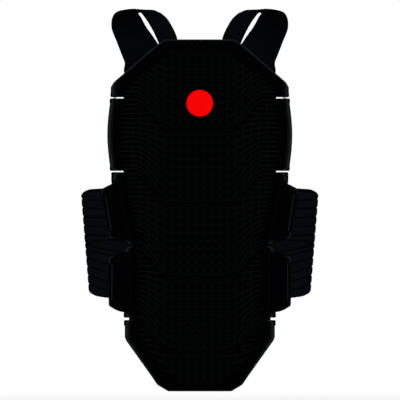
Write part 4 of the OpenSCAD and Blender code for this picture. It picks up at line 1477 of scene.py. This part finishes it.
# Points of the strap's middle line, each with the half width across it.
STRAP_KNOTS = [(Vector(p), Vector(w)) for p, w in [
    (rail_point(sum(HEMS[0]) / 2), RAIL_WAY * (0.5 - HEM_LONG / 2)),
    ((-44.7, RAIL_HEAD.y + 0.4, -3), (11.2, -1, 6.4)),
    ((-55.6, 29, 20.1), (10.6, 4, 6.5)),
    ((-66.1, 37, 34.3), (11.4, 11, 2.3)),
    ((-73.2, 49, 40.2), (13.2, 12, -0.9)),
    ((-84.6, 63, 42.5), (17.4, 12.5, -0.4)),
    ((-104.6, 89, 39.3), (16.5, 14, 1.5)),
    ((-105.2, 108, 26), (20.8, 3, 6)),
    ((-97.7, 117, 8.6), (20.7, 0, 10)),
    ((-88.3, 119, -8.5), (23.7, 0, 9.6)),
    ((-81, 117, -25.2), (26, 0, 6.8)),
    ((-86, 110, -43), (22, 0, 2)),
    ((-85, 97, -59), (16, 0, 0)),
    ((-85.5, 85, -66), (12.5, 0, 0)),
    ((-87, 68, -70), (12.5, 0, 0)),
    ((-88.5, 51, -74), (12.5, 0, 0)),
    ((-89.5, 40, -68.5), (10, -1, 5.4)),
    (rail_point(sum(HEMS[1]) / 2), RAIL_WAY * (0.5 - HEM_LONG / 2))]]
LAST_KNOT = len(STRAP_KNOTS) - 1


def strap_at(s, part):
    """Smooth curve through the knots: part 0 is the middle line, part 1 the half width."""
    i = min(LAST_KNOT - 1, max(0, int(s)))
    f = s - i
    a, b, d, e = (STRAP_KNOTS[min(LAST_KNOT, max(0, n))][part] for n in (i - 1, i, i + 1, i + 2))
    return b + f * ((d - a) / 2 + f * ((2 * a - 5 * b + 4 * d - e) / 2 + f * (3 * b - a - 3 * d + e) / 2))


def strap_frame(s):
    """Middle point, half width and face direction of the strap."""
    wide = strap_at(s, 1)
    way = strap_at(s + 0.02, 0) - strap_at(s - 0.02, 0)
    return strap_at(s, 0), wide, wide.cross(way).normalized()


def strap_form():
    """A strap's webbing and its length."""
    levels = steps(0.0, LAST_KNOT, 102)
    runs = dict(zip(levels, runs_along([strap_at(s, 0) for s in levels])))

    def spot(s, v):
        middle, wide, up = strap_frame(s)
        thick = edge_round((1 - abs(v)) * wide.length + 0.05, 1.2) * 0.92 * STRAP_THICK / 2
        crown = 0.35 * (1 - v * v)
        p = middle + wide * v
        return p - up * (thick - 0.15), p + up * (thick + crown - 0.2), (runs[s], v * wide.length)

    across = edge_levels(14, [0.0, 0.015, 0.04, 0.08])
    return sheet_form(levels, across, spot), runs[levels[-1]]


def strap_path(levels, v, inset, lift=0.0):
    """A path along one edge of the strap, drawn in from it and lifted off the middle layer."""
    path = []
    for s in levels:
        middle, wide, up = strap_frame(s)
        path.append(middle + wide * (v * (1 - inset / wide.length)) + up * lift)
    return path


def add_sleeve(form, first, last):
    """The hem of a strap, sewn round the rod."""
    across = RAIL_WAY.cross(Vector((0, 1, 0))).normalized()
    upward = across.cross(RAIL_WAY).normalized()
    levels = [(first, SLEEVE_BORE), (first, SLEEVE_RADIUS - 0.3), (first + 0.4, SLEEVE_RADIUS)]
    levels += [(s, SLEEVE_RADIUS + 0.12 * math.sin(3 * s)) for s in steps(first + 2, last - 2, 8)]
    levels += [(last - 0.4, SLEEVE_RADIUS), (last, SLEEVE_RADIUS - 0.3), (last, SLEEVE_BORE)]
    points, places = [], []
    for s, r in levels:
        for turn in round_turns(SLEEVE_SIDES):
            points.append(rail_point(s) + across * (r * math.cos(turn)) + upward * (r * math.sin(turn)))
            places.append((s, r * turn))
    add_skin(form, points, places, SLEEVE_SIDES, True, True)


strap, strap_run = strap_form()
for first, last in HEMS:
    add_sleeve(strap, first, last)
strap_edges, strap_seams = Form(), Form()
for v in (-1, 1):
    add_tube(strap_edges, strap_path(steps(0.4, LAST_KNOT - 0.4, 94), v, 0.4), STRAP_EDGE)
    for face in (-1, 1):
        path = strap_path(steps(0.7, LAST_KNOT - 0.7, 124), v, STRAP_SEAM_INSET, face * STRAP_THICK / 2)
        add_stitches(strap_seams, path, 0.4, 3.0, 2.0)
for side, word in SIDES.items():
    body = "strap_" + word
    obj = build("strap_webbing_" + word, strap.on(side), STRAP)
    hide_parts("strap_" + word)
    carry(obj, body)
    trim("strap_binding_" + word, strap_edges.on(side), BINDING, body)
    trim("strap_stitches_" + word, strap_seams.on(side), BLACK_THREAD, body)


# The stage: a pale floor, a white surround, soft lamps and a long lens from straight behind the back.

FLOOR_Z = -0.475
FLOOR_RADIUS = 1.6
FLOOR_SIDES = 64
WHITE = (1, 1, 1, 1)


def seen_rays(tree):
    """One for the rays that show the stage: from the camera, mirrored or passed through."""
    ray = add_node(tree, "ShaderNodeLightPath").outputs
    straight = calc(tree, "MAXIMUM", ray["Is Camera Ray"], ray["Is Glossy Ray"])
    return calc(tree, "MAXIMUM", straight, ray["Is Transmission Ray"])


floor_mesh = bpy.data.meshes.new("floor")
edge = [(FLOOR_RADIUS * math.cos(turn), FLOOR_RADIUS * math.sin(turn), FLOOR_Z)
        for turn in round_turns(FLOOR_SIDES)]
floor_mesh.from_pydata(edge, [], [tuple(range(FLOOR_SIDES))])
floor = bpy.data.objects.new("floor", floor_mesh)
scene.collection.objects.link(floor)
floor_material = bpy.data.materials.new("floor_paper")
floor_material.use_nodes = True
tree = floor_material.node_tree
tree.nodes.clear()
lit = add_node(tree, "ShaderNodeBsdfDiffuse", {"Color": (0.9, 0.9, 0.9, 1)}).outputs[0]
glow = add_node(tree, "ShaderNodeEmission", {"Color": WHITE, "Strength": 1.0}).outputs[0]
away = add_node(tree, "ShaderNodeVectorMath", {0: coords(tree)}, operation="LENGTH").outputs["Value"]
fade = spread(tree, away, 0.7, 1.0, 0.55, 1.0, "SMOOTHSTEP")
share = calc(tree, "MULTIPLY", seen_rays(tree), fade)
shown = add_node(tree, "ShaderNodeMixShader", {0: share, 1: lit, 2: glow}).outputs[0]
add_node(tree, "ShaderNodeOutputMaterial", {"Surface": shown})
floor_mesh.materials.append(floor_material)

surround = bpy.data.worlds.new("surround")
scene.world = surround
surround.use_nodes = True
tree = surround.node_tree
tree.nodes.clear()
soft = add_node(tree, "ShaderNodeBackground", {"Color": WHITE, "Strength": 0.45}).outputs[0]
white = add_node(tree, "ShaderNodeBackground", {"Color": WHITE, "Strength": 1.0}).outputs[0]
shown = add_node(tree, "ShaderNodeMixShader", {0: seen_rays(tree), 1: soft, 2: white}).outputs[0]
add_node(tree, "ShaderNodeOutputWorld", {"Surface": shown})

# Place, power and size of each lamp.
LAMPS = {"key": ((-1.6, -2.0, 1.1), 34, 1.4),
         "fill": ((1.7, -1.8, 0.7), 24, 1.4),
         "rear": ((0.3, 2.4, 1.2), 26, 1.6)}
AIM = Vector((0, 0.05, -0.2))
for lamp_name, (spot, power, size) in LAMPS.items():
    lamp = bpy.data.lights.new(lamp_name, "AREA")
    lamp.energy = power
    lamp.size = size
    lamp_object = bpy.data.objects.new(lamp_name, lamp)
    lamp_object.location = spot
    lamp_object.rotation_euler = (AIM - Vector(spot)).to_track_quat("-Z", "Y").to_euler()
    scene.collection.objects.link(lamp_object)

# The photograph's frame: its middle, in the plane of the plates, and its width there.
FRAME_X = 0.0003
FRAME_Y = -0.015
FRAME_Z = -0.1836
FRAME_WIDE = 0.5697
CAMERA_AWAY = 12.7
SENSOR_WIDE = 36.0
camera = bpy.data.cameras.new("camera")
camera.sensor_width = SENSOR_WIDE
camera.lens = SENSOR_WIDE * CAMERA_AWAY / FRAME_WIDE
camera.clip_end = 60
camera_object = bpy.data.objects.new("camera", camera)
camera_object.location = (FRAME_X, FRAME_Y - CAMERA_AWAY, FRAME_Z)
camera_object.rotation_euler = (math.pi / 2, 0, 0)
scene.collection.objects.link(camera_object)
scene.camera = camera_object
